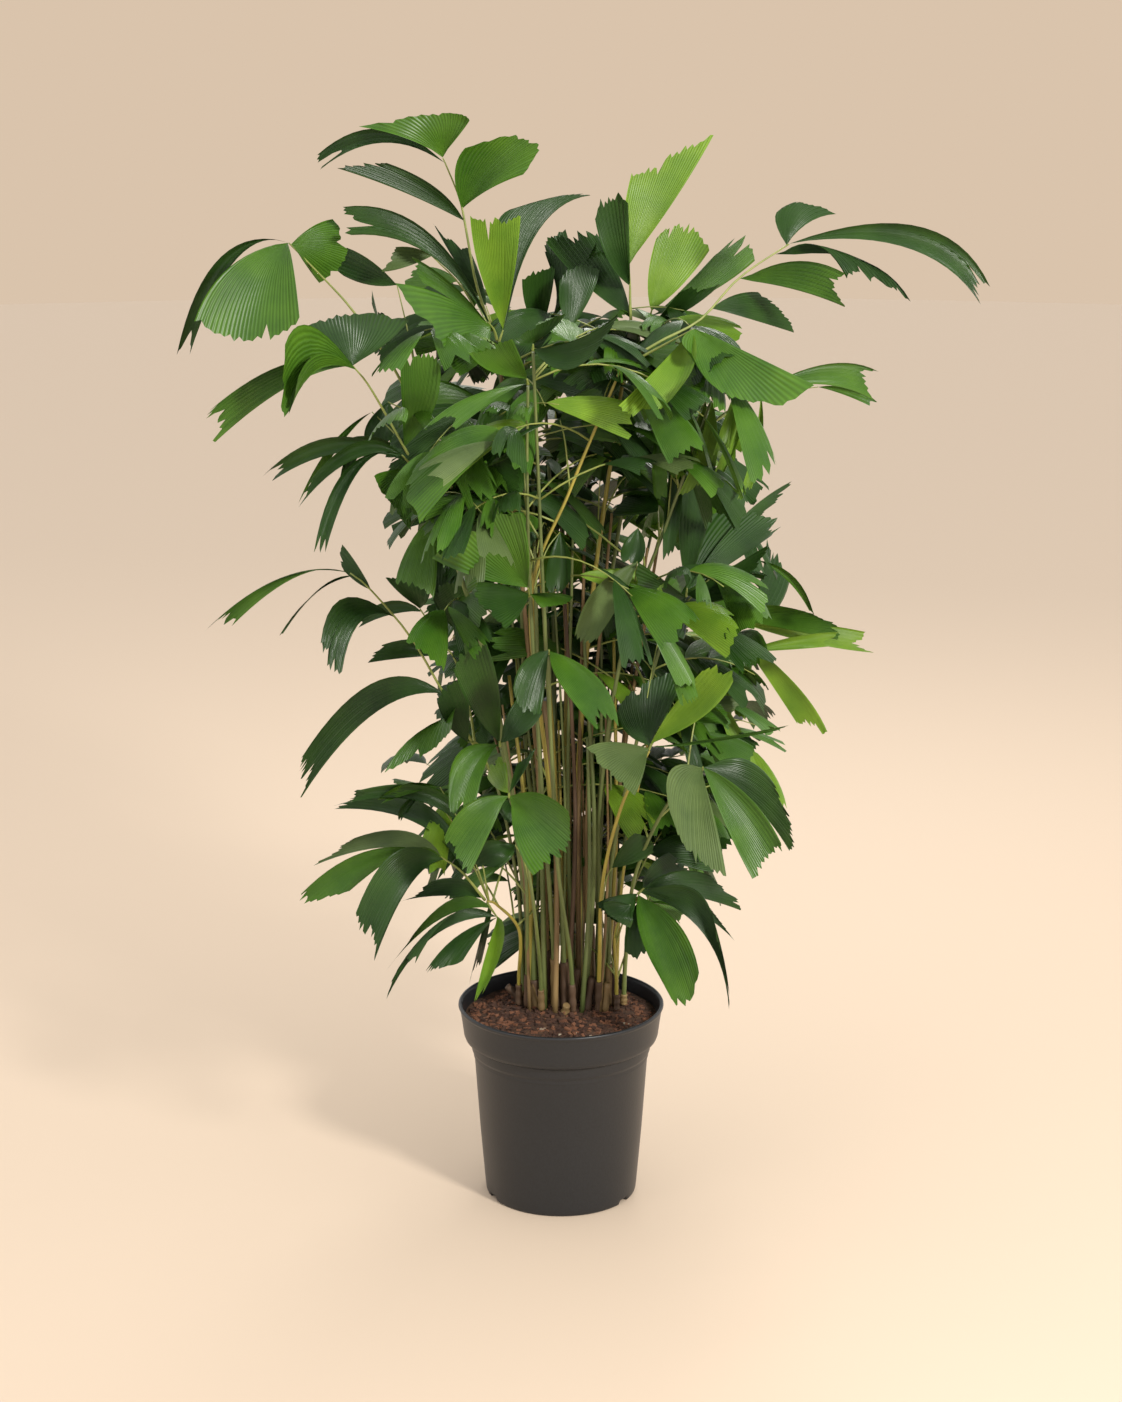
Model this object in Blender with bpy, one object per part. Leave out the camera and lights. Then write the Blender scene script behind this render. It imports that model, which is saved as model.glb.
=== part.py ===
"""A fishtail palm in its nursery pot: the pot and its soil, the canes and leaf
stalks of the clump, and the fronds they carry, each frond a thin blade of its
own outline. Metres, +Z up, the pot's flat underside centred on the origin."""

import math

import bmesh
import bpy
import numpy as np
from mathutils import Vector
from mathutils.bvhtree import BVHTree

# ---------------------------------------------------------------- driving sizes
RIM_R = 0.170  # outer radius at the rolled lip
POT_H = 0.330  # underside to the top of the lip
BASE_R = 0.1245  # outer radius at the underside
WALL = 0.0030
FLOOR_T = 0.0040
LIP_H = 0.0075  # rolled bead round the mouth
COLLAR_H = 0.0620  # tall band under the lip, standing proud of the body
SOIL_DROP = 0.026  # soil edge below the lip
MOUND_H = 0.020  # how far the soil rises towards the clump
NOTCH_W, NOTCH_H = 0.020, 0.0085  # drain notches in the foot
NOTCH_AZ = (-64.0, 56.0, 176.0)  # measured from the front, turning to the right
STALK_SIDES = 5
BLADE_T = 0.0032  # a frond's blade, rib included
RIB_W = 0.0060
RIB_LEAST = 0.034  # a rib that carries only a tuft of blades is at least this long
GAP = 0.0005

# The plant was measured from one standing point in front of it. A reading
# (across, down) with a depth y along the front-to-back axis becomes metres here.
STAND_BACK, STAND_UP = 4.374, 1.958
LOOK_DOWN = math.radians(14.3)
REACH = 2800.0  # readings per unit of tangent
MID_ACROSS, MID_DOWN = 561.0, 701.0


def seen(u, v, y):
    """The point at depth y that reads (u, v) from the standing point."""
    up = (MID_DOWN - v) / REACH
    along = (y + STAND_BACK) / (math.cos(LOOK_DOWN) + up * math.sin(LOOK_DOWN))
    return Vector(
        (
            along * (u - MID_ACROSS) / REACH,
            y,
            STAND_UP + along * (up * math.cos(LOOK_DOWN) - math.sin(LOOK_DOWN)),
        )
    )


# ---------------------------------------------------------------- the stalks
# name: (foot x, foot y, foot radius, tip radius, readings up to the tip)
# Each is one tapering limb from the soil to the foot of its frond.
STALKS = {
    "stalk_crown_tip": (-0.006, 0.052, 0.0075, 0.0026, [(527, 760, 0.05), (520, 560, 0.05), (503, 400, 0.06), (492, 333, 0.06)]),
    "stalk_left_high": (-0.030, 0.050, 0.0070, 0.0028, [(512, 800, 0.05), (472, 600, 0.03), (437, 470, 0.02), (421, 421, 0.02)]),
    "stalk_left_fore": (-0.044, 0.012, 0.0110, 0.0034, [(512, 800, -0.01), (491, 680, -0.05), (455, 560, -0.09), (418, 474, -0.12)]),
    "stalk_left_mid": (-0.062, 0.030, 0.0060, 0.0028, [(517, 880, 0.01), (498, 790, 0.0), (477, 752, -0.02)]),
    "stalk_centre_bright": (-0.022, 0.020, 0.0070, 0.0034, [(537, 760, 0.01), (520, 560, 0.0), (505, 420, 0.0), (499, 345, 0.0)]),
    "stalk_centre_back": (0.012, 0.060, 0.0070, 0.0030, [(556, 760, 0.09), (552, 540, 0.12), (545, 400, 0.14), (541, 342, 0.14)]),
    "stalk_fore_left": (-0.010, -0.004, 0.0060, 0.0030, [(541, 780, -0.08), (530, 590, -0.16), (527, 470, -0.21), (528, 386, -0.25)]),
    "stalk_fore_right": (0.006, -0.012, 0.0060, 0.0032, [(553, 780, -0.07), (543, 590, -0.15), (538, 470, -0.20), (533, 352, -0.25)]),
    "stalk_right_tall": (0.030, 0.034, 0.0085, 0.0036, [(578, 780, 0.03), (592, 600, 0.03), (614, 440, 0.04), (631, 327, 0.05)]),
    "stalk_right_wide": (0.050, 0.058, 0.0070, 0.0034, [(590, 780, 0.07), (608, 600, 0.09), (634, 440, 0.09), (649, 334, 0.09)]),
    "stalk_yellow": (0.010, 0.022, 0.0060, 0.0030, [(546, 760, -0.06), (531, 598, -0.13), (570, 490, -0.16), (622, 366, -0.16)]),
    "stalk_right_hang": (0.066, 0.036, 0.0065, 0.0030, [(600, 800, 0.0), (625, 640, -0.06), (668, 520, -0.10), (711, 401, -0.12)]),
    "stalk_right_mid": (0.078, 0.010, 0.0060, 0.0030, [(612, 860, 0.0), (637, 740, -0.02), (661, 645, -0.03), (685, 599, -0.03)]),
    "stalk_right_low": (0.090, 0.042, 0.0055, 0.0028, [(622, 860, 0.08), (640, 770, 0.12), (672, 700, 0.15), (700, 671, 0.16)]),
    "stalk_right_fore": (0.062, -0.014, 0.0055, 0.0030, [(603, 880, -0.08), (622, 805, -0.14), (649, 751, -0.18)]),
    "stalk_right_gloss": (0.104, 0.016, 0.0055, 0.0030, [(634, 880, -0.06), (664, 810, -0.14), (700, 772, -0.20)]),
    "stalk_centre_fore": (0.020, -0.022, 0.0055, 0.0028, [(557, 860, -0.12), (551, 740, -0.20), (549, 656, -0.24)]),
    "stalk_left_pair": (-0.056, 0.002, 0.0050, 0.0026, [(526, 880, -0.06), (514, 800, -0.12), (501, 749, -0.15)]),
    "stalk_left_drape": (-0.032, -0.014, 0.0050, 0.0028, [(533, 900, -0.12), (521, 830, -0.19), (510, 800, -0.21)]),
    "stalk_left_foot": (-0.070, 0.012, 0.0050, 0.0026, [(519, 930, -0.03), (497, 905, -0.06), (487, 901, -0.07)]),
    "stalk_right_foot": (0.092, -0.012, 0.0045, 0.0026, [(616, 930, -0.04), (636, 897, -0.06)]),
    "stalk_back_mid": (0.022, 0.082, 0.0065, 0.0030, [(570, 800, 0.16), (566, 600, 0.26), (560, 480, 0.33), (556, 420, 0.36)]),
    "stalk_back_left": (-0.018, 0.078, 0.0060, 0.0030, [(540, 800, 0.16), (510, 620, 0.25), (482, 520, 0.31), (470, 480, 0.33)]),
    "stalk_back_right": (0.066, 0.076, 0.0060, 0.0030, [(600, 800, 0.16), (628, 640, 0.25), (650, 540, 0.31), (662, 490, 0.33)]),
}
STALK_SEGMENTS = 7

# ---------------------------------------------------------------- the fronds
# name: (stalk, rib readings, blades). The rib's first reading is at its stalk.
# A blade: where it leaves the rib, then the two corners and the middle of its
# ragged end (corner, middle, corner), how far its middle bows (across, down),
# how far its margins belly out, and how far its end comes forward (-) or back.
FRONDS = {
    "frond_crown_tip": ("stalk_crown_tip", [(492, 331, .06), (476, 283, .06), (465, 224, .06), (459, 197, .06), (443, 158, .05)], [
        (442, 156, 355, 126, 438, 110, 470, 120, 4, -4, 0, -.03),
        (444, 163, 316, 156, 315, 166, 316, 173, 0, -28, 3, .06),
        (464, 221, 384, 162, 350, 161, 333, 167, 6, -4, 5, -.06),
        (462, 209, 465, 148, 538, 133, 525, 174, -6, -4, 3, -.04),
    ]),
    "frond_left_arch": ("stalk_left_high", [(421, 419, .02), (390, 362, .01), (353, 311, .0), (331, 286, -.01), (289, 243, -.04)], [
        (287, 242, 194, 322, 250, 346, 300, 322, -6, -14, 6, -.10),
        (292, 243, 333, 219, 349, 254, 320, 284, 0, -2, 3, .05),
        (284, 241, 176, 358, 180, 366, 188, 360, -8, -38, 5, .02),
        (392, 366, 372, 290, 372, 304, 384, 312, 0, 0, 3, .06),
    ]),
    "frond_left_fan": ("stalk_left_fore", [(417, 471, -.12), (404, 447, -.13), (371, 389, -.15), (353, 366, -.16)], [
        (353, 364, 303, 326, 352, 310, 411, 318, 0, 3, 4, .02),
        (351, 366, 208, 412, 205, 427, 210, 447, 6, -22, 3, -.05),
        (356, 370, 284, 348, 281, 432, 297, 380, -8, -28, 6, -.14),
        (404, 447, 400, 360, 425, 342, 440, 362, 6, 4, 6, -.04),
    ]),
    "frond_left_strap": ("stalk_left_fore", [(417, 474, -.122), (412, 466, -.14), (402, 455, -.16)], [
        (402, 455, 313, 558, 318, 559, 324, 557, -8, -36, 5, -.08),
        (406, 459, 298, 508, 300, 498, 303, 490, 2, -28, 5, -.03),
        (411, 464, 262, 477, 263, 480, 265, 486, 0, -28, 6, .05),
        (413, 468, 374, 476, 389, 506, 411, 531, -4, 4, 6, -.10),
    ]),
    "frond_left_bright": ("stalk_centre_bright", [(497, 340, .0), (494, 330, -.01), (488, 322, -.02)], [
        (496, 338, 342, 207, 338, 220, 343, 236, 10, -36, 4, -.04),
        (494, 333, 411, 256, 411, 268, 420, 281, 4, -4, 4, -.07),
        (490, 326, 395, 283, 440, 356, 458, 377, 6, -2, 8, -.16),
    ]),
    "frond_centre_bright": ("stalk_centre_bright", [(499, 342, .0), (503, 330, .0)], [
        (503, 328, 470, 213, 496, 211, 521, 212, -2, 0, 5, -.05),
        (504, 336, 521, 208, 572, 194, 597, 195, -16, -34, 4, .08),
    ]),
    "frond_centre_dark": ("stalk_centre_back", [(541, 340, .14), (543, 326, .14)], [
        (543, 324, 597, 241, 611, 239, 622, 227, 2, 8, 4, -.05),
        (540, 336, 522, 279, 542, 261, 555, 267, -1, 0, 4, -.03),
        (543, 333, 565, 228, 545, 241, 548, 262, 14, 4, 3, .05),
    ]),
    "frond_fore_left": ("stalk_fore_left", [(528, 384, -.25), (527, 379, -.26)], [
        (527, 378, 468, 352, 487, 342, 512, 338, -2, 5, 5, -.10),
        (527, 384, 455, 430, 437, 427, 421, 432, 0, -10, 9, -.16),
    ]),
    "frond_fore_right": ("stalk_fore_right", [(533, 350, -.25), (533, 344, -.255)], [
        (534, 343, 512, 341, 536, 324, 566, 313, 1, 2, 3, -.03),
        (533, 349, 621, 311, 611, 334, 591, 357, 2, 12, 6, -.10),
    ]),
    "frond_right_tall": ("stalk_right_tall", [(631, 325, .05), (630, 300, .05), (630, 286, .05), (629, 266, .05)], [
        (629, 263, 632, 172, 672, 146, 717, 129, -2, 4, 6, .04),
        (630, 286, 595, 219, 608, 185, 628, 200, -2, 6, 3, -.03),
        (631, 318, 545, 241, 562, 227, 594, 229, 2, 4, 5, .07),
    ]),
    "frond_right_wide": ("stalk_right_wide", [(649, 332, .09), (650, 318, .09), (652, 309, .09)], [
        (651, 311, 657, 236, 687, 213, 711, 248, -2, 4, 4, .03),
        (653, 316, 712, 258, 748, 231, 758, 258, 0, 6, 4, .09),
        (650, 328, 679, 292, 700, 284, 722, 283, 0, 4, 4, -.05),
    ]),
    "frond_right_arm": ("stalk_yellow", [(624, 363, -.16), (661, 341, -.15), (701, 319, -.13), (739, 278, -.10), (789, 244, -.07)], [
        (790, 243, 992, 291, 985, 300, 984, 310, 26, -34, 7, -.02),
        (786, 245, 784, 209, 806, 201, 838, 214, -6, -8, 4, .05),
        (777, 257, 911, 302, 880, 288, 848, 281, 10, -22, 7, -.06),
        (742, 280, 846, 274, 841, 290, 849, 309, 2, -10, 6, -.10),
        (712, 308, 758, 292, 784, 311, 795, 333, 2, -2, 4, .06),
    ]),
    "frond_right_fan": ("stalk_yellow", [(625, 366, -.163), (660, 347, -.18), (694, 329, -.20)], [
        (696, 328, 691, 353, 745, 409, 816, 386, 0, 2, 12, -.06),
        (692, 330, 618, 406, 646, 419, 680, 388, 4, 2, 6, -.10),
        (686, 334, 656, 419, 681, 424, 701, 408, 2, 2, 5, -.02),
    ]),
    "frond_right_hang": ("stalk_right_hang", [(712, 399, -.12), (730, 392, -.13), (760, 393, -.14)], [
        (712, 399, 676, 499, 692, 497, 708, 491, 5, 4, 3, -.03),
        (735, 392, 713, 456, 722, 453, 730, 450, 1, 0, 3, -.02),
        (761, 394, 736, 503, 744, 498, 751, 490, 5, 2, 2, -.03),
        (755, 393, 881, 373, 872, 381, 876, 402, 8, -16, 3, .06),
    ]),
    "frond_right_mid": ("stalk_right_mid", [(686, 597, -.03), (687, 588, -.03)], [
        (687, 587, 686, 468, 700, 455, 716, 466, -1, 0, 7, .02),
        (688, 590, 715, 511, 778, 516, 771, 536, -4, 0, 4, .09),
        (687, 594, 768, 545, 762, 565, 741, 591, 2, 3, 8, -.06),
        (684, 596, 638, 562, 640, 608, 683, 640, 0, 2, 6, -.14),
        (687, 592, 792, 481, 785, 496, 766, 513, -8, -8, 6, .14),
    ]),
    "frond_right_low": ("stalk_right_low", [(702, 669, .16), (728, 637, .16), (745, 622, .15)], [
        (746, 621, 786, 607, 835, 622, 838, 640, 0, -3, 8, -.04),
        (744, 624, 866, 632, 868, 645, 878, 653, 0, 0, 6, .04),
        (724, 642, 735, 679, 754, 676, 769, 658, 2, -16, 8, -.17),
        (735, 632, 798, 725, 815, 736, 829, 736, 6, -2, 9, .04),
        (730, 637, 725, 716, 735, 718, 746, 721, -2, 4, 3, -.06),
        (741, 626, 767, 538, 779, 548, 790, 580, 6, 8, 3, .10),
        (716, 654, 640, 735, 652, 713, 690, 690, 4, -2, 8, -.08),
    ]),
    "frond_right_fore": ("stalk_right_fore", [(649, 749, -.18), (651, 744, -.185)], [
        (651, 743, 704, 669, 728, 661, 734, 680, 4, 2, 8, -.06),
        (648, 745, 617, 711, 641, 683, 692, 664, -2, 2, 5, .05),
        (652, 747, 790, 725, 776, 731, 757, 734, 0, 2, 6, -.02),
        (648, 748, 586, 748, 608, 776, 634, 797, -2, -2, 6, -.14),
    ]),
    "frond_right_gloss": ("stalk_right_gloss", [(702, 770, -.20), (703, 767, -.205)], [
        (700, 767, 670, 812, 696, 870, 727, 880, -6, -8, 14, -.14),
        (703, 767, 753, 880, 778, 868, 782, 845, 2, -4, 7, -.06),
        (706, 768, 790, 852, 797, 835, 775, 785, 4, -12, 6, .03),
    ]),
    "frond_centre_fore": ("stalk_centre_fore", [(549, 654, -.24), (549, 650, -.245)], [
        (548, 650, 513, 690, 523, 716, 540, 716, -3, -4, 6, -.06),
        (551, 651, 598, 731, 610, 729, 619, 731, 0, -10, 16, -.12),
    ]),
    "frond_centre_face": ("stalk_fore_left", [(529, 596, -.163), (528, 588, -.185)], [
        (527, 587, 431, 558, 478, 514, 522, 512, 2, 4, 3, -.07),
        (530, 594, 478, 582, 476, 604, 504, 630, 0, 0, 4, -.14),
        (531, 594, 574, 597, 566, 606, 541, 608, 0, -2, 2, -.03),
    ]),
    "frond_left_mid": ("stalk_left_mid", [(476, 749, -.02), (457, 715, -.03), (440, 687, -.04), (410, 636, -.05), (369, 588, -.06), (350, 573, -.06)], [
        (349, 573, 202, 634, 212, 629, 227, 631, 4, -24, 3, .03),
        (353, 576, 279, 636, 281, 637, 282, 633, 0, -14, 4, -.04),
        (395, 617, 320, 650, 326, 668, 341, 679, -12, -30, 6, -.10),
        (372, 590, 342, 544, 339, 557, 343, 570, 0, 0, 3, .04),
        (457, 713, 383, 776, 424, 758, 451, 731, -4, -10, 6, -.09),
        (444, 694, 300, 760, 293, 790, 295, 808, 2, -40, 5, .0),
    ]),
    "frond_left_thin": ("stalk_left_mid", [(475, 748, -.01), (470, 712, .04), (456, 662, .04), (444, 645, .04), (420, 609, .04)], [
        (420, 608, 385, 577, 402, 575, 431, 588, 0, 2, 2, -.02),
        (422, 611, 358, 628, 360, 621, 364, 613, 0, -8, 4, .05),
        (444, 643, 436, 560, 450, 552, 467, 591, -2, 2, 5, .05),
        (447, 655, 367, 663, 372, 654, 379, 646, 2, -6, 6, -.03),
        (468, 705, 437, 702, 440, 686, 464, 677, 0, 0, 4, .04),
    ]),
    "frond_left_pair": ("stalk_left_pair", [(500, 746, -.15), (500, 741, -.155)], [
        (499, 742, 453, 668, 466, 636, 486, 642, 2, 3, 6, -.08),
        (502, 743, 516, 700, 538, 696, 543, 712, 0, 2, 5, .03),
        (498, 745, 449, 800, 454, 820, 474, 812, -8, -16, 8, -.08),
    ]),
    "frond_left_drape": ("stalk_left_drape", [(509, 797, -.21), (509, 793, -.213)], [
        (512, 796, 570, 813, 572, 856, 534, 877, -4, -4, 8, -.10),
        (506, 796, 444, 838, 448, 862, 469, 876, -2, -8, 7, -.05),
        (507, 793, 487, 777, 492, 760, 504, 756, 0, 0, 3, .10),
        (510, 793, 517, 764, 528, 752, 537, 745, 0, 2, 3, .05),
    ]),
    "frond_left_foot": ("stalk_left_foot", [(485, 900, -.07), (462, 872, -.09), (441, 857, -.10)], [
        (439, 855, 300, 895, 303, 908, 344, 896, 6, -24, 8, -.02),
        (444, 860, 374, 962, 362, 950, 355, 915, -2, -30, 6, -.10),
        (441, 854, 313, 866, 330, 850, 352, 839, 6, -14, 3, .07),
        (466, 876, 333, 809, 340, 800, 352, 790, 20, -22, 4, .12),
        (482, 899, 397, 902, 412, 896, 427, 882, 4, -8, 6, .02),
    ]),
    "frond_left_skirt": ("stalk_left_foot", [(487, 903, -.072), (497, 917, -.10)], [
        (496, 917, 386, 1000, 392, 980, 412, 970, -4, -26, 5, -.06),
        (498, 918, 425, 972, 431, 976, 462, 962, 0, -10, 5, -.13),
        (491, 908, 385, 972, 396, 958, 412, 936, 2, -22, 3, .05),
        (499, 915, 474, 1003, 476, 1001, 479, 1000, 6, -6, 9, -.16),
        (489, 905, 469, 986, 471, 979, 480, 968, 4, -14, 4, .24),
    ]),
    "frond_right_foot": ("stalk_right_foot", [(638, 894, -.06), (644, 888, -.065)], [
        (645, 887, 712, 876, 737, 896, 742, 911, 2, -6, 6, .05),
        (644, 890, 735, 941, 724, 924, 712, 910, 4, -8, 4, .0),
        (641, 893, 729, 1010, 728, 985, 716, 940, 18, -22, 5, -.05),
        (638, 896, 667, 988, 688, 1018, 700, 979, 0, -8, 12, -.13),
        (636, 893, 597, 903, 602, 916, 627, 926, 0, 0, 3, -.05),
        (641, 887, 690, 872, 686, 864, 670, 852, 0, -2, 5, .12),
    ]),
}
# Fronds that lean away behind the ones above: name: (stalk, rib, spread, blades)
# Their blades follow one rule, so they are given by the rib and a fan of sizes.
BACK_FRONDS = {
    "frond_back_mid": ("stalk_back_mid", [(556, 418, .36), (558, 372, .42), (562, 345, .50), (566, 335, .57)], 10, 0.150),
    "frond_back_left": ("stalk_back_left", [(470, 478, .33), (462, 440, .38), (458, 415, .45), (456, 405, .52)], 9, 0.140),
    "frond_back_right": ("stalk_back_right", [(662, 488, .33), (667, 440, .38), (672, 410, .45), (674, 400, .52)], 9, 0.140),
}

LEAF_GREEN = (0.065, 0.150, 0.022, 1)
STALK_GREEN = (0.230, 0.260, 0.060, 1)
POT_GREY = (0.052, 0.050, 0.048, 1)
SOIL_BROWN = (0.060, 0.030, 0.018, 1)


# ---------------------------------------------------------------- helpers
def clear():
    for held in list(bpy.data.objects):
        bpy.data.objects.remove(held, do_unlink=True)


def finish(name, colour, roughness, metallic=0.0):
    made = bpy.data.materials.get(name)
    if made is None:
        made = bpy.data.materials.new(name)
        made.use_nodes = True
        shader = made.node_tree.nodes["Principled BSDF"]
        shader.inputs["Base Color"].default_value = colour
        shader.inputs["Roughness"].default_value = roughness
        shader.inputs["Metallic"].default_value = metallic
    return made


def place(name, bm, material, smooth_under=None):
    mesh = bpy.data.meshes.new(name)
    bm.to_mesh(mesh)
    bm.free()
    if smooth_under is not None:
        mesh.shade_smooth()
        mesh.set_sharp_from_angle(angle=math.radians(smooth_under))
    obj = bpy.data.objects.new(name, mesh)
    obj.data.materials.append(material)
    bpy.context.scene.collection.objects.link(obj)
    return obj


def through(points, t):
    """A smooth curve through the points, at t from 0 to 1 of their number."""
    last = len(points) - 1
    at = min(max(t, 0.0), 1.0) * last
    i = min(int(at), last - 1)
    s = at - i
    p1, p2 = points[i], points[i + 1]
    p0 = points[i - 1] if i else p1 * 2 - p2
    p3 = points[i + 2] if i + 2 <= last else p2 * 2 - p1
    return 0.5 * (
        p1 * 2
        + (p2 - p0) * s
        + (p0 * 2 - p1 * 5 + p2 * 4 - p3) * (s * s)
        + (p1 * 3 - p0 - p2 * 3 + p3) * (s * s * s)
    )


# ---------------------------------------------------------------- the pot
def pot_profile():
    """Down the outside from the lip, across the underside, up the inside."""
    r_collar_top, r_collar_low = RIM_R * 0.984, RIM_R * 0.955
    r_ring, r_body = RIM_R * 0.872, RIM_R * 0.856
    z = POT_H
    outer = [
        (RIM_R - 0.0022, z),
        (RIM_R, z - 0.0022),
        (RIM_R, z - LIP_H + 0.002),
        (r_collar_top, z - LIP_H),
        (r_collar_low, z - COLLAR_H * 0.62),
        (r_collar_low - 0.002, z - COLLAR_H + 0.006),
        (r_ring + 0.004, z - COLLAR_H),
        (r_ring, z - COLLAR_H - 0.001),
        (r_ring, z - COLLAR_H - 0.017),
        (r_body, z - COLLAR_H - 0.021),
        (BASE_R + 0.0012, 0.004),
        (BASE_R - 0.0025, 0.0),
    ]
    inner = [
        (BASE_R - 0.0060, FLOOR_T),
        (r_body - WALL, z - COLLAR_H - 0.022),
        (r_ring - WALL, z - COLLAR_H - 0.016),
        (r_ring - WALL + 0.001, z - COLLAR_H + 0.004),
        (r_collar_low - WALL, z - COLLAR_H + 0.012),
        (r_collar_top - WALL, z - LIP_H - 0.001),
        (RIM_R - 0.0062, z - 0.0015),
        (RIM_R - 0.0050, z),
    ]
    return outer, inner


def build_pot(material):
    steps = 48
    outer, inner = pot_profile()
    profile = outer + inner
    bm = bmesh.new()
    rings = []
    for r, z in profile:
        rings.append([
            bm.verts.new((r * math.sin(2 * math.pi * k / steps), -r * math.cos(2 * math.pi * k / steps), z))
            for k in range(steps)
        ])
    under = bm.verts.new((0, 0, 0))
    floor = bm.verts.new((0, 0, FLOOR_T))
    split = len(outer) - 1
    for i in range(len(profile)):
        j = (i + 1) % len(profile)
        if i == split:
            for k in range(steps):
                n = (k + 1) % steps
                bm.faces.new((rings[i][k], under, rings[i][n]))
                bm.faces.new((rings[j][n], floor, rings[j][k]))
            continue
        for k in range(steps):
            n = (k + 1) % steps
            bm.faces.new((rings[i][k], rings[j][k], rings[j][n], rings[i][n]))
    bmesh.ops.recalc_face_normals(bm, faces=bm.faces[:])
    pot = place("pot", bm, material, 35)
    for number, azimuth in enumerate(NOTCH_AZ):
        turn = math.radians(azimuth)
        cut = bmesh.new()
        bmesh.ops.create_cube(cut, size=1.0)
        for vert in cut.verts:
            x, y, z = vert.co
            vert.co = (x * NOTCH_W * (0.8 if z > 0 else 1.0), y * 0.030, (z + 0.5) * (NOTCH_H + 0.01) - 0.01)
        notch = place("cutter_drain_%d" % number, cut, material)
        notch.location = (BASE_R * math.sin(turn), -BASE_R * math.cos(turn), 0)
        notch.rotation_euler = (0, 0, turn)
        notch.hide_render = True
        notch.display_type = "WIRE"
        boolean = pot.modifiers.new("drain_%d" % number, "BOOLEAN")
        boolean.object = notch
        boolean.operation = "DIFFERENCE"
        boolean.solver = "EXACT"
    return pot


def inner_radius(z):
    """The inside of the wall at height z."""
    _, inner = pot_profile()
    for (r0, z0), (r1, z1) in zip(inner, inner[1:]):
        if z0 <= z <= z1:
            return r0 + (r1 - r0) * (z - z0) / (z1 - z0)
    return inner[0][0]


def soil_height(x, y):
    """The soil's top: level at the wall and mounded under the clump."""
    r = math.hypot((x - 0.012) / 1.25, y - 0.026)
    mound = MOUND_H * max(0.0, 1 - (r / 0.115) ** 2) ** 1.4
    ripple = 0.0016 * math.sin(61 * x + 1.3) * math.cos(53 * y + 0.4)
    return POT_H - SOIL_DROP + mound + ripple


def build_soil(material):
    """The potting mix fills the pot from its floor to the mounded top."""
    steps, rings = 32, (0.30, 0.56, 0.80)
    top_z = POT_H - SOIL_DROP
    levels = [FLOOR_T + 0.0004] + [p[1] for p in pot_profile()[1][1:5]]
    bm = bmesh.new()

    def ring(r_of, z_of):
        made = []
        for k in range(steps):
            a = 2 * math.pi * k / steps
            x, y = math.sin(a), -math.cos(a)
            r = r_of
            made.append(bm.verts.new((r * x, r * y, z_of(r * x, r * y))))
        return made

    rows = [ring(inner_radius(z) / math.cos(math.pi / 48) - 0.0012 - 0.0006, lambda x, y, z=z: z) for z in levels]
    edge = inner_radius(top_z) - 0.0012
    rows.append(ring(edge, lambda x, y: soil_height(x, y)))
    for share in reversed(rings):
        rows.append(ring(edge * share, soil_height))
    bottom = bm.verts.new((0, 0, levels[0]))
    top = bm.verts.new((0, 0, soil_height(0, 0)))
    for low, high in zip(rows, rows[1:]):
        for k in range(steps):
            n = (k + 1) % steps
            bm.faces.new((low[k], low[n], high[n], high[k]))
    for k in range(steps):
        n = (k + 1) % steps
        bm.faces.new((bottom, rows[0][n], rows[0][k]))
        bm.faces.new((top, rows[-1][k], rows[-1][n]))
    bmesh.ops.recalc_face_normals(bm, faces=bm.faces[:])
    return bm


# ---------------------------------------------------------------- what stands already
class Standing:
    """Shapes that are placed, for keeping later ones clear of them."""

    def __init__(self):
        self.trees = []

    def add(self, bm):
        lo = Vector((min(v.co[i] for v in bm.verts) for i in range(3)))
        hi = Vector((max(v.co[i] for v in bm.verts) for i in range(3)))
        self.trees.append((lo, hi, BVHTree.FromBMesh(bm)))

    def hit(self, bm, skip=()):
        lo = Vector((min(v.co[i] for v in bm.verts) for i in range(3)))
        hi = Vector((max(v.co[i] for v in bm.verts) for i in range(3)))
        tree = None
        for number, (a, b, other) in enumerate(self.trees):
            if number in skip:
                continue
            if any(lo[i] > b[i] or hi[i] < a[i] for i in range(3)):
                continue
            tree = tree or BVHTree.FromBMesh(bm)
            if tree.overlap(other):
                return True
        return False


def tube(points, r0, r1, sides, flat_foot=False):
    """One tapering limb along the points, closed at both ends."""
    bm = bmesh.new()
    rows = []
    side = Vector((1, 0, 0))
    for i, p in enumerate(points):
        ahead = (points[min(i + 1, len(points) - 1)] - points[max(i - 1, 0)]).normalized()
        if flat_foot and i == 0:
            ahead = Vector((0, 0, 1))
        side = (side - ahead * side.dot(ahead)).normalized()
        other = ahead.cross(side)
        r = r0 + (r1 - r0) * (i / (len(points) - 1)) ** 0.75
        rows.append([
            bm.verts.new(p + (side * math.cos(2 * math.pi * k / sides) + other * math.sin(2 * math.pi * k / sides)) * r)
            for k in range(sides)
        ])
    for low, high in zip(rows, rows[1:]):
        for k in range(sides):
            n = (k + 1) % sides
            bm.faces.new((low[k], low[n], high[n], high[k]))
    bm.faces.new(list(reversed(rows[0])))
    bm.faces.new(rows[-1])
    bmesh.ops.recalc_face_normals(bm, faces=bm.faces[:])
    return bm


def spread_feet(feet, radii, gap=0.0012):
    """Moves the stalks' feet apart until none touch, each as little as it can."""
    feet = feet.copy()
    for _ in range(400):
        step = feet[:, None, :] - feet[None, :, :]
        away = np.hypot(step[..., 0], step[..., 1]) + np.eye(len(feet))
        need = radii[:, None] + radii[None, :] + gap
        short = np.clip(need - away, 0, None) * (1 - np.eye(len(feet)))
        if short.max() < 1e-6:
            break
        feet += (step / away[..., None] * short[..., None]).sum(1) * 0.5
    return feet


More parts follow.
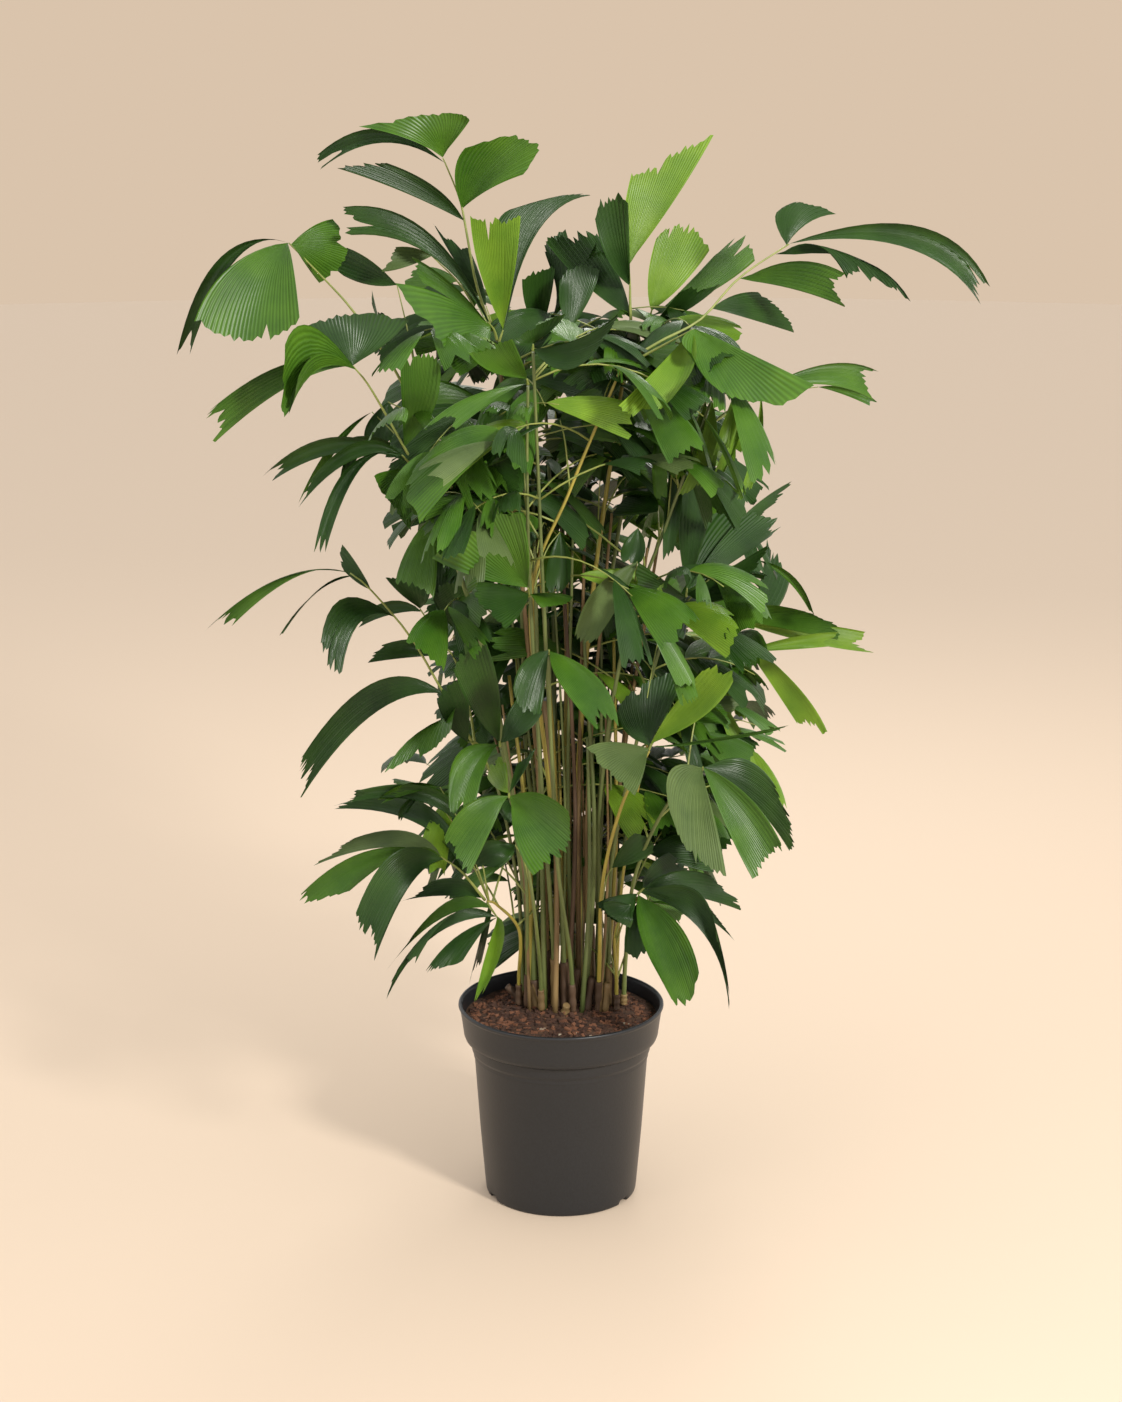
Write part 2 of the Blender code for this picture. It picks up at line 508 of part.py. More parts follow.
def spread_stalks(lines, radii, gap=0.0014):
    """Moves the stalks' middles to and fro, never across, until they pass clear."""
    lines = [np.array([tuple(p) for p in line]) for line in lines]
    count = len(lines[0])
    ease = np.sin(np.pi * np.linspace(0, 1, count)) ** 0.5
    for turn in range(260):
        worst = 0.0
        push = [np.zeros(count) for _ in lines]
        for i in range(len(lines)):
            for j in range(i + 1, len(lines)):
                a, b = lines[i], lines[j]
                seg = b[1:] - b[:-1]
                rel = a[:, None, :] - b[None, :-1, :]
                t = np.clip((rel * seg[None]).sum(2) / (seg ** 2).sum(1)[None], 0, 1)
                gapv = rel - seg[None] * t[..., None]
                dist = np.sqrt((gapv ** 2).sum(2))
                k = dist.argmin(1)
                rows = np.arange(count)
                d = dist[rows, k]
                along = k + t[rows, k]
                need = radii[i] + np.interp(along, np.arange(count), radii[j]) + gap
                short = np.clip(need - d, 0, None)
                if short[1:-1].max() <= 0:
                    continue
                worst = max(worst, float(short[1:-1].max()))
                lead = gapv[rows, k, 1]
                total = float((lead * (short > 0)).sum())
                way = 1.0 if total > 0 or (total == 0 and i < j) else -1.0
                push[i] += way * short * 0.55
                moved = np.zeros(count)
                np.maximum.at(moved, np.clip(np.round(along).astype(int), 0, count - 1), short)
                push[j] -= way * moved * 0.55
        if worst < 2e-4:
            break
        for line, by in zip(lines, push):
            soft = by.copy()
            soft[1:-1] = (by[:-2] + 2 * by[1:-1] + by[2:]) / 3.2
            line[:, 1] += np.clip(soft, -0.006, 0.006) * ease
            bent = line[1:-1, 1] - (line[:-2, 1] + line[2:, 1]) / 2
            line[1:-1, 1] -= 0.04 * bent
    return [[Vector(p) for p in line] for line in lines]


# ---------------------------------------------------------------- fronds
def blade_rows(row, y_foot, shift):
    """The blade's corners: rows of (corner, middle, corner) from foot to ragged end."""
    bu, bv, lu, lv, tu, tv, ru, rv, bow_u, bow_v, belly, lean = row
    length = math.hypot(tu - bu, tv - bv)
    rows = 3 if length > 75 else 2
    mid = ((lu + ru) / 2, (lv + rv) / 2)
    made = []
    for k in range(1, rows + 1):
        t = k / rows
        line = []
        for end, out in (((lu, lv), 1), ((tu, tv), 0), ((ru, rv), 1)):
            mu, mv = (bu + end[0]) / 2 + bow_u, (bv + end[1]) / 2 + bow_v
            if out:
                du, dv = end[0] - mid[0], end[1] - mid[1]
                size = math.hypot(du, dv) or 1.0
                mu, mv = mu + du / size * belly, mv + dv / size * belly
            cu, cv = 2 * mu - (bu + end[0]) / 2, 2 * mv - (bv + end[1]) / 2
            u = bu * (1 - t) ** 2 + cu * 2 * t * (1 - t) + end[0] * t * t
            v = bv * (1 - t) ** 2 + cv * 2 * t * (1 - t) + end[1] * t * t
            cup = (0.012 if out else 0.0) * math.sin(math.pi * min(t, 0.8))
            line.append(seen(u, v, y_foot + (lean + shift) * t - cup))
        made.append(line)
    return made


def shell(bm, thickness):
    """Gives an open sheet its thickness, evenly on both faces."""
    bmesh.ops.recalc_face_normals(bm, faces=bm.faces[:])
    bm.normal_update()
    verts = list(bm.verts)
    faces = list(bm.faces)
    border = [e for e in bm.edges if len(e.link_faces) == 1]
    half = thickness / 2
    lower = {}
    for v in verts:
        lower[v] = bm.verts.new(v.co - v.normal * half)
    moved = [(v, v.co + v.normal * half) for v in verts]
    for f in faces:
        bm.faces.new([lower[v] for v in reversed(f.verts)])
    for e in border:
        loop = e.link_loops[0]
        a, b = loop.vert, loop.link_loop_next.vert
        bm.faces.new((b, a, lower[a], lower[b]))
    for v, co in moved:
        v.co = co
    bmesh.ops.triangulate(bm, faces=bm.faces[:])


def lone_blade(foot, rows, thickness, skip_foot):
    """One blade by itself, for testing what it meets."""
    bm = bmesh.new()
    lines = [[bm.verts.new(p) for p in line] for line in rows]
    if skip_foot:
        start = [bm.verts.new(foot.lerp(p, 0.35 if len(rows) == 2 else 0.5)) for p in rows[0]]
    else:
        start = [bm.verts.new(foot.lerp(p, 0.06)) for p in rows[0]]
    lines.insert(0, start)
    for low, high in zip(lines, lines[1:]):
        for k in range(2):
            bm.faces.new((low[k], low[k + 1], high[k + 1], high[k]))
    shell(bm, thickness)
    return bm


def choose_cells(rib, blades):
    """Splits the rib into cells and gives each blade one edge: a side cell or the rib's end."""
    length = sum((b - a).length for a, b in zip(rib, rib[1:]))
    cells = max(3, len(blades) // 2 + 2, min(16, round(length / 0.016)))
    view = Vector((0, -STAND_BACK, STAND_UP))
    tip = through(rib, 1.0)
    onward = (tip - through(rib, 0.93)).normalized()
    wanted = []
    for foot, rows in blades:
        best = min((k / 200 for k in range(201)), key=lambda t: (through(rib, t) - foot).length)
        ahead = through(rib, min(best + 0.03, 1)) - through(rib, max(best - 0.03, 0))
        right = ahead.cross((foot - view).normalized()).normalized()
        toward = (rows[0][1] - foot).normalized()
        wanted.append((best, 1 if toward.dot(right) > 0 else -1, toward.dot(onward)))
    ends = [k for k, w in enumerate(wanted) if w[0] > 0.94 and w[2] > 0.2]
    last = max(ends, key=lambda k: wanted[k][2]) if ends else None
    taken, plan = set(), []
    for k in sorted(range(len(blades)), key=lambda k: -wanted[k][0]):
        if k == last:
            plan.append((k, cells, 0))
            continue
        at, side, _ = wanted[k]
        free = [(abs((c + 0.5) / cells - at) + (0 if d == side else 0.35), c, d)
                for c in range(cells) for d in (-1, 1) if (c, d) not in taken]
        _, cell, way = min(free)
        taken.add((cell, way))
        plan.append((k, cell, way))
    return cells, sorted(plan)


def frond_sheet(rib, blades):
    """The whole frond as one open sheet: the rib's strip with a lobe for each blade."""
    cells, plan = choose_cells(rib, blades)
    view = Vector((0, -STAND_BACK, STAND_UP))
    bm = bmesh.new()
    strip = []
    for k in range(cells + 1):
        s = k / cells
        p = through(rib, s)
        ahead = (through(rib, min(s + 0.02, 1)) - through(rib, max(s - 0.02, 0))).normalized()
        right = ahead.cross((p - view).normalized()).normalized()
        half = RIB_W / 2 * (1 - 0.45 * s)
        strip.append({-1: bm.verts.new(p - right * half), 1: bm.verts.new(p + right * half)})
    for low, high in zip(strip, strip[1:]):
        bm.faces.new((low[-1], low[1], high[1], high[-1]))
    for k, cell, side in plan:
        rows = blades[k][1]
        if side:
            a, b = strip[cell][side], strip[cell + 1][side]
        else:
            a, b = strip[cells][-1], strip[cells][1]
        first = rows[0]
        if (first[0] - a.co).length + (first[2] - b.co).length > (first[2] - a.co).length + (first[0] - b.co).length:
            a, b = b, a
        lines = [[bm.verts.new(p) for p in line] for line in rows]
        left, mid, right = lines[0]
        bm.faces.new((a, left, mid))
        bm.faces.new((a, mid, b))
        bm.faces.new((b, mid, right))
        for low, high in zip(lines, lines[1:]):
            for n in range(2):
                bm.faces.new((low[n], low[n + 1], high[n + 1], high[n]))
    return bm


def rib_points(readings):
    return [seen(*reading) for reading in readings]


def build_frond(name, readings, rows_in, standing, report):
    rib = rib_points(readings)
    length = sum((b - a).length for a, b in zip(rib, rib[1:]))
    if length < RIB_LEAST:
        rib = [rib[0] + (q - rib[0]) * (RIB_LEAST / length) for q in rib]
    rib[0] = rib[0] + (rib[1] - rib[0]).normalized() * 0.003
    own = []
    blades = []
    for row in rows_in:
        foot_t = min((k / 100 for k in range(101)), key=lambda t: (
            through(rib, t) - seen(row[0], row[1], through(rib, t).y)).length)
        foot = through(rib, foot_t)
        done = None
        for shift in (0, .02, -.02, .04, -.04, .06, -.06, .08, -.08, .11, -.11, .14, -.14, .18, -.18, .22, -.22, .27, -.27):
            rows = blade_rows(row, foot.y, shift)
            whole = lone_blade(foot, rows, BLADE_T + 2 * GAP, False)
            if standing.hit(whole):
                whole.free()
                continue
            part = lone_blade(foot, rows, BLADE_T + 2 * GAP, True)
            tree = BVHTree.FromBMesh(part)
            part.free()
            if any(tree.overlap(other) for other in own):
                whole.free()
                continue
            done = rows
            own.append(BVHTree.FromBMesh(whole))
            whole.free()
            break
        if done is None:
            report.append((name, row[:8]))
            continue
        blades.append((foot, done))
    bm = frond_sheet(rib, blades)
    shell(bm, BLADE_T + 2 * GAP)
    clear_by = 0.0
    for step in (0, .004, -.004, .008, -.008, .013, -.013, .019, -.019, .026, -.026, .035, -.035):
        bmesh.ops.translate(bm, verts=bm.verts[:], vec=(0, step - clear_by, 0))
        clear_by = step
        if not standing.hit(bm):
            break
    else:
        report.append((name, "meets another frond"))
    bm.free()
    bm = frond_sheet(rib, blades)
    bmesh.ops.translate(bm, verts=bm.verts[:], vec=(0, clear_by, 0))
    shell(bm, BLADE_T)
    return bm


def back_rows(readings, pairs, size):
    """Blade rows for a frond that leans away: pairs along the rib and one at its tip."""
    rows = []
    for k in range(pairs):
        t = 0.12 + 0.88 * k / (pairs - 1)
        i = min(int(t * (len(readings) - 1)), len(readings) - 2)
        s = t * (len(readings) - 1) - i
        u = readings[i][0] * (1 - s) + readings[i + 1][0] * s
        v = readings[i][1] * (1 - s) + readings[i + 1][1] * s
        out = 1 if k % 2 else -1
        reach = size * 560 * (1.0 - 0.35 * abs(t - 0.55))
        turn = math.radians(62 - 48 * t + 9 * math.sin(2.4 * k))
        tip = (u + out * reach * math.sin(turn), v - reach * 0.55 * math.cos(turn) + 16)
        wide = reach * 0.26
        cu, cv = math.cos(turn) * wide * out, math.sin(turn) * wide * 0.7
        rows.append((u, v, tip[0] - cu, tip[1] - cv, tip[0] + out * 5, tip[1], tip[0] + cu, tip[1] + cv, 0, -8, 5, 0.05 + 0.05 * math.sin(1.9 * k)))
    return rows


def main():
    clear()
    leaf = finish("leaf_green", LEAF_GREEN, 0.42)
    stalk = finish("stalk_green", STALK_GREEN, 0.5)
    plastic = finish("pot_plastic", POT_GREY, 0.45)
    mix = finish("potting_mix", SOIL_BROWN, 0.95)
    build_pot(plastic)
    soil = build_soil(mix)
    soil_copy = soil.copy()
    standing = Standing()
    standing.add(soil)
    place("soil", soil, mix)

    ground = BVHTree.FromBMesh(soil_copy)
    soil_copy.free()
    names = list(STALKS)
    feet = spread_feet(np.array([STALKS[n][:2] for n in names]), np.array([STALKS[n][2] for n in names]))
    lines, radii = [], []
    share = np.linspace(0, 1, STALK_SEGMENTS * 4 + 1)
    for name, (x, y) in zip(names, feet):
        _, _, r0, r1, readings = STALKS[name]
        top = max(
            ground.ray_cast(Vector((x + dx, y + dy, 1)), Vector((0, 0, -1)))[0].z
            for dx in (-r0, 0, r0) for dy in (-r0, 0, r0)
        )
        foot = Vector((x, y, top + 0.0006))
        first = seen(*readings[0])
        rise = Vector(((first.x - foot.x) * 0.2, (first.y - foot.y) * 0.2, (first.z - foot.z) * 0.36))
        path = [foot, foot + rise] + [seen(*reading) for reading in readings]
        lines.append([through(path, t) for t in share])
        radii.append(r0 + (r1 - r0) * share ** 0.75)
    lines = spread_stalks(lines, radii)
    for name, line in zip(names, lines):
        _, _, r0, r1, _ = STALKS[name]
        points = line[::4]
        bm = None
        for shift in (0, .006, -.006, .012, -.012, .018, -.018, .026, -.026, .036, -.036, .05, -.05):
            moved = [q + Vector((0, shift * math.sin(math.pi * k / STALK_SEGMENTS), 0)) for k, q in enumerate(points)]
            trial = tube(moved, r0 + 0.0004, r1 + 0.0004, STALK_SIDES, True)
            free = not standing.hit(trial)
            trial.free()
            if free:
                bm = tube(moved, r0, r1, STALK_SIDES, True)
                break
        if bm is None:
            print("STALK CLASH", name)
            continue
        standing.add(bm)
        place(name, bm, stalk, 60)

    report = []
    for name, (carrier, readings, rows) in FRONDS.items():
        bm = build_frond(name, readings, rows, standing, report)
        standing.add(bm)
        place(name, bm, leaf)
    for name, (carrier, readings, pairs, size) in BACK_FRONDS.items():
        rows = back_rows(readings, pairs, size)
        bm = build_frond(name, readings, rows, standing, report)
        standing.add(bm)
        place(name, bm, leaf)
    for name, row in report:
        print("LEFT OUT", name, row)


main()
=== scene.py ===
"""The fishtail palm and its pot as they look: ribs and pleated leaflets in place
of the frond blades, stalks with their sheaths, chips on the soil."""

import math
import random

import bmesh
import bpy
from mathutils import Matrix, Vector, noise


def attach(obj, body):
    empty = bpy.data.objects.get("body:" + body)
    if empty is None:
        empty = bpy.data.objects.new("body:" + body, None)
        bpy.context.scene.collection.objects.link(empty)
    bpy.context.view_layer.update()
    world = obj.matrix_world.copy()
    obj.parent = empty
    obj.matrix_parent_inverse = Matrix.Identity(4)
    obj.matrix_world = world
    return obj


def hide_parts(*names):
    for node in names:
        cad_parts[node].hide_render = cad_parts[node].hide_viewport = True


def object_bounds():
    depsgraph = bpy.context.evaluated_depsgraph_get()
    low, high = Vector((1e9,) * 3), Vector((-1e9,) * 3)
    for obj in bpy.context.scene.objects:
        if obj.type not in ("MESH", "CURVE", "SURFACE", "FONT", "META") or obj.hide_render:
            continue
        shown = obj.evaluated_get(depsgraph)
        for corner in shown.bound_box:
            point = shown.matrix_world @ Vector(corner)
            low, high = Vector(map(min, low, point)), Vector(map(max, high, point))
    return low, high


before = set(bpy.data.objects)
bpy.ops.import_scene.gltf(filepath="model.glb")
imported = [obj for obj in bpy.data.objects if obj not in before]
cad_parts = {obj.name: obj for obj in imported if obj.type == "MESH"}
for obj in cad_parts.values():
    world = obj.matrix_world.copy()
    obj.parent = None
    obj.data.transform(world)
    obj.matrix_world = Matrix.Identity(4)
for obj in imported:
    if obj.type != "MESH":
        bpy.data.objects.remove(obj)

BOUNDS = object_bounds()

POT_H, RIM_R = 0.330, 0.170
STAND_BACK, STAND_UP = 4.374, 1.958
LOOK_DOWN = math.radians(14.3)
REACH = 2800.0
MID_ACROSS, MID_DOWN = 561.0, 701.0


def seen(u, v, y):
    """The point at depth y that reads (u, v) from the standing point."""
    up = (MID_DOWN - v) / REACH
    along = (y + STAND_BACK) / (math.cos(LOOK_DOWN) + up * math.sin(LOOK_DOWN))
    return Vector(
        (
            along * (u - MID_ACROSS) / REACH,
            y,
            STAND_UP + along * (up * math.cos(LOOK_DOWN) - math.sin(LOOK_DOWN)),
        )
    )


# ---------------------------------------------------------------- the stalks
# name: (foot x, foot y, foot radius, tip radius, readings up to the tip)
# Each is one tapering limb from the soil to the foot of its frond.
STALKS = {
    "stalk_crown_tip": (-0.006, 0.052, 0.0075, 0.0026, [(527, 760, 0.05), (520, 560, 0.05), (503, 400, 0.06), (492, 333, 0.06)]),
    "stalk_left_high": (-0.030, 0.050, 0.0070, 0.0028, [(512, 800, 0.05), (472, 600, 0.03), (437, 470, 0.02), (421, 421, 0.02)]),
    "stalk_left_fore": (-0.044, 0.012, 0.0110, 0.0034, [(512, 800, -0.01), (491, 680, -0.05), (455, 560, -0.09), (418, 474, -0.12)]),
    "stalk_left_mid": (-0.062, 0.030, 0.0060, 0.0028, [(517, 880, 0.01), (498, 790, 0.0), (477, 752, -0.02)]),
    "stalk_centre_bright": (-0.022, 0.020, 0.0070, 0.0034, [(537, 760, 0.01), (520, 560, 0.0), (505, 420, 0.0), (499, 345, 0.0)]),
    "stalk_centre_back": (0.012, 0.060, 0.0070, 0.0030, [(556, 760, 0.09), (552, 540, 0.12), (545, 400, 0.14), (541, 342, 0.14)]),
    "stalk_fore_left": (-0.010, -0.004, 0.0060, 0.0030, [(541, 780, -0.08), (530, 590, -0.16), (527, 470, -0.21), (528, 386, -0.25)]),
    "stalk_fore_right": (0.006, -0.012, 0.0060, 0.0032, [(553, 780, -0.07), (543, 590, -0.15), (538, 470, -0.20), (533, 352, -0.25)]),
    "stalk_right_tall": (0.030, 0.034, 0.0085, 0.0036, [(578, 780, 0.03), (592, 600, 0.03), (614, 440, 0.04), (631, 327, 0.05)]),
    "stalk_right_wide": (0.050, 0.058, 0.0070, 0.0034, [(590, 780, 0.07), (608, 600, 0.09), (634, 440, 0.09), (649, 334, 0.09)]),
    "stalk_yellow": (0.010, 0.022, 0.0060, 0.0030, [(546, 760, -0.06), (531, 598, -0.13), (570, 490, -0.16), (622, 366, -0.16)]),
    "stalk_right_hang": (0.066, 0.036, 0.0065, 0.0030, [(600, 800, 0.0), (625, 640, -0.06), (668, 520, -0.10), (711, 401, -0.12)]),
    "stalk_right_mid": (0.078, 0.010, 0.0060, 0.0030, [(612, 860, 0.0), (637, 740, -0.02), (661, 645, -0.03), (685, 599, -0.03)]),
    "stalk_right_low": (0.090, 0.042, 0.0055, 0.0028, [(622, 860, 0.08), (640, 770, 0.12), (672, 700, 0.15), (700, 671, 0.16)]),
    "stalk_right_fore": (0.062, -0.014, 0.0055, 0.0030, [(603, 880, -0.08), (622, 805, -0.14), (649, 751, -0.18)]),
    "stalk_right_gloss": (0.104, 0.016, 0.0055, 0.0030, [(634, 880, -0.06), (664, 810, -0.14), (700, 772, -0.20)]),
    "stalk_centre_fore": (0.020, -0.022, 0.0055, 0.0028, [(557, 860, -0.12), (551, 740, -0.20), (549, 656, -0.24)]),
    "stalk_left_pair": (-0.056, 0.002, 0.0050, 0.0026, [(526, 880, -0.06), (514, 800, -0.12), (501, 749, -0.15)]),
    "stalk_left_drape": (-0.032, -0.014, 0.0050, 0.0028, [(533, 900, -0.12), (521, 830, -0.19), (510, 800, -0.21)]),
    "stalk_left_foot": (-0.070, 0.012, 0.0050, 0.0026, [(519, 930, -0.03), (497, 905, -0.06), (487, 901, -0.07)]),
    "stalk_right_foot": (0.092, -0.012, 0.0045, 0.0026, [(616, 930, -0.04), (636, 897, -0.06)]),
    "stalk_back_mid": (0.022, 0.082, 0.0065, 0.0030, [(570, 800, 0.16), (566, 600, 0.26), (560, 480, 0.33), (556, 420, 0.36)]),
    "stalk_back_left": (-0.018, 0.078, 0.0060, 0.0030, [(540, 800, 0.16), (510, 620, 0.25), (482, 520, 0.31), (470, 480, 0.33)]),
    "stalk_back_right": (0.066, 0.076, 0.0060, 0.0030, [(600, 800, 0.16), (628, 640, 0.25), (650, 540, 0.31), (662, 490, 0.33)]),
}
STALK_SEGMENTS = 7

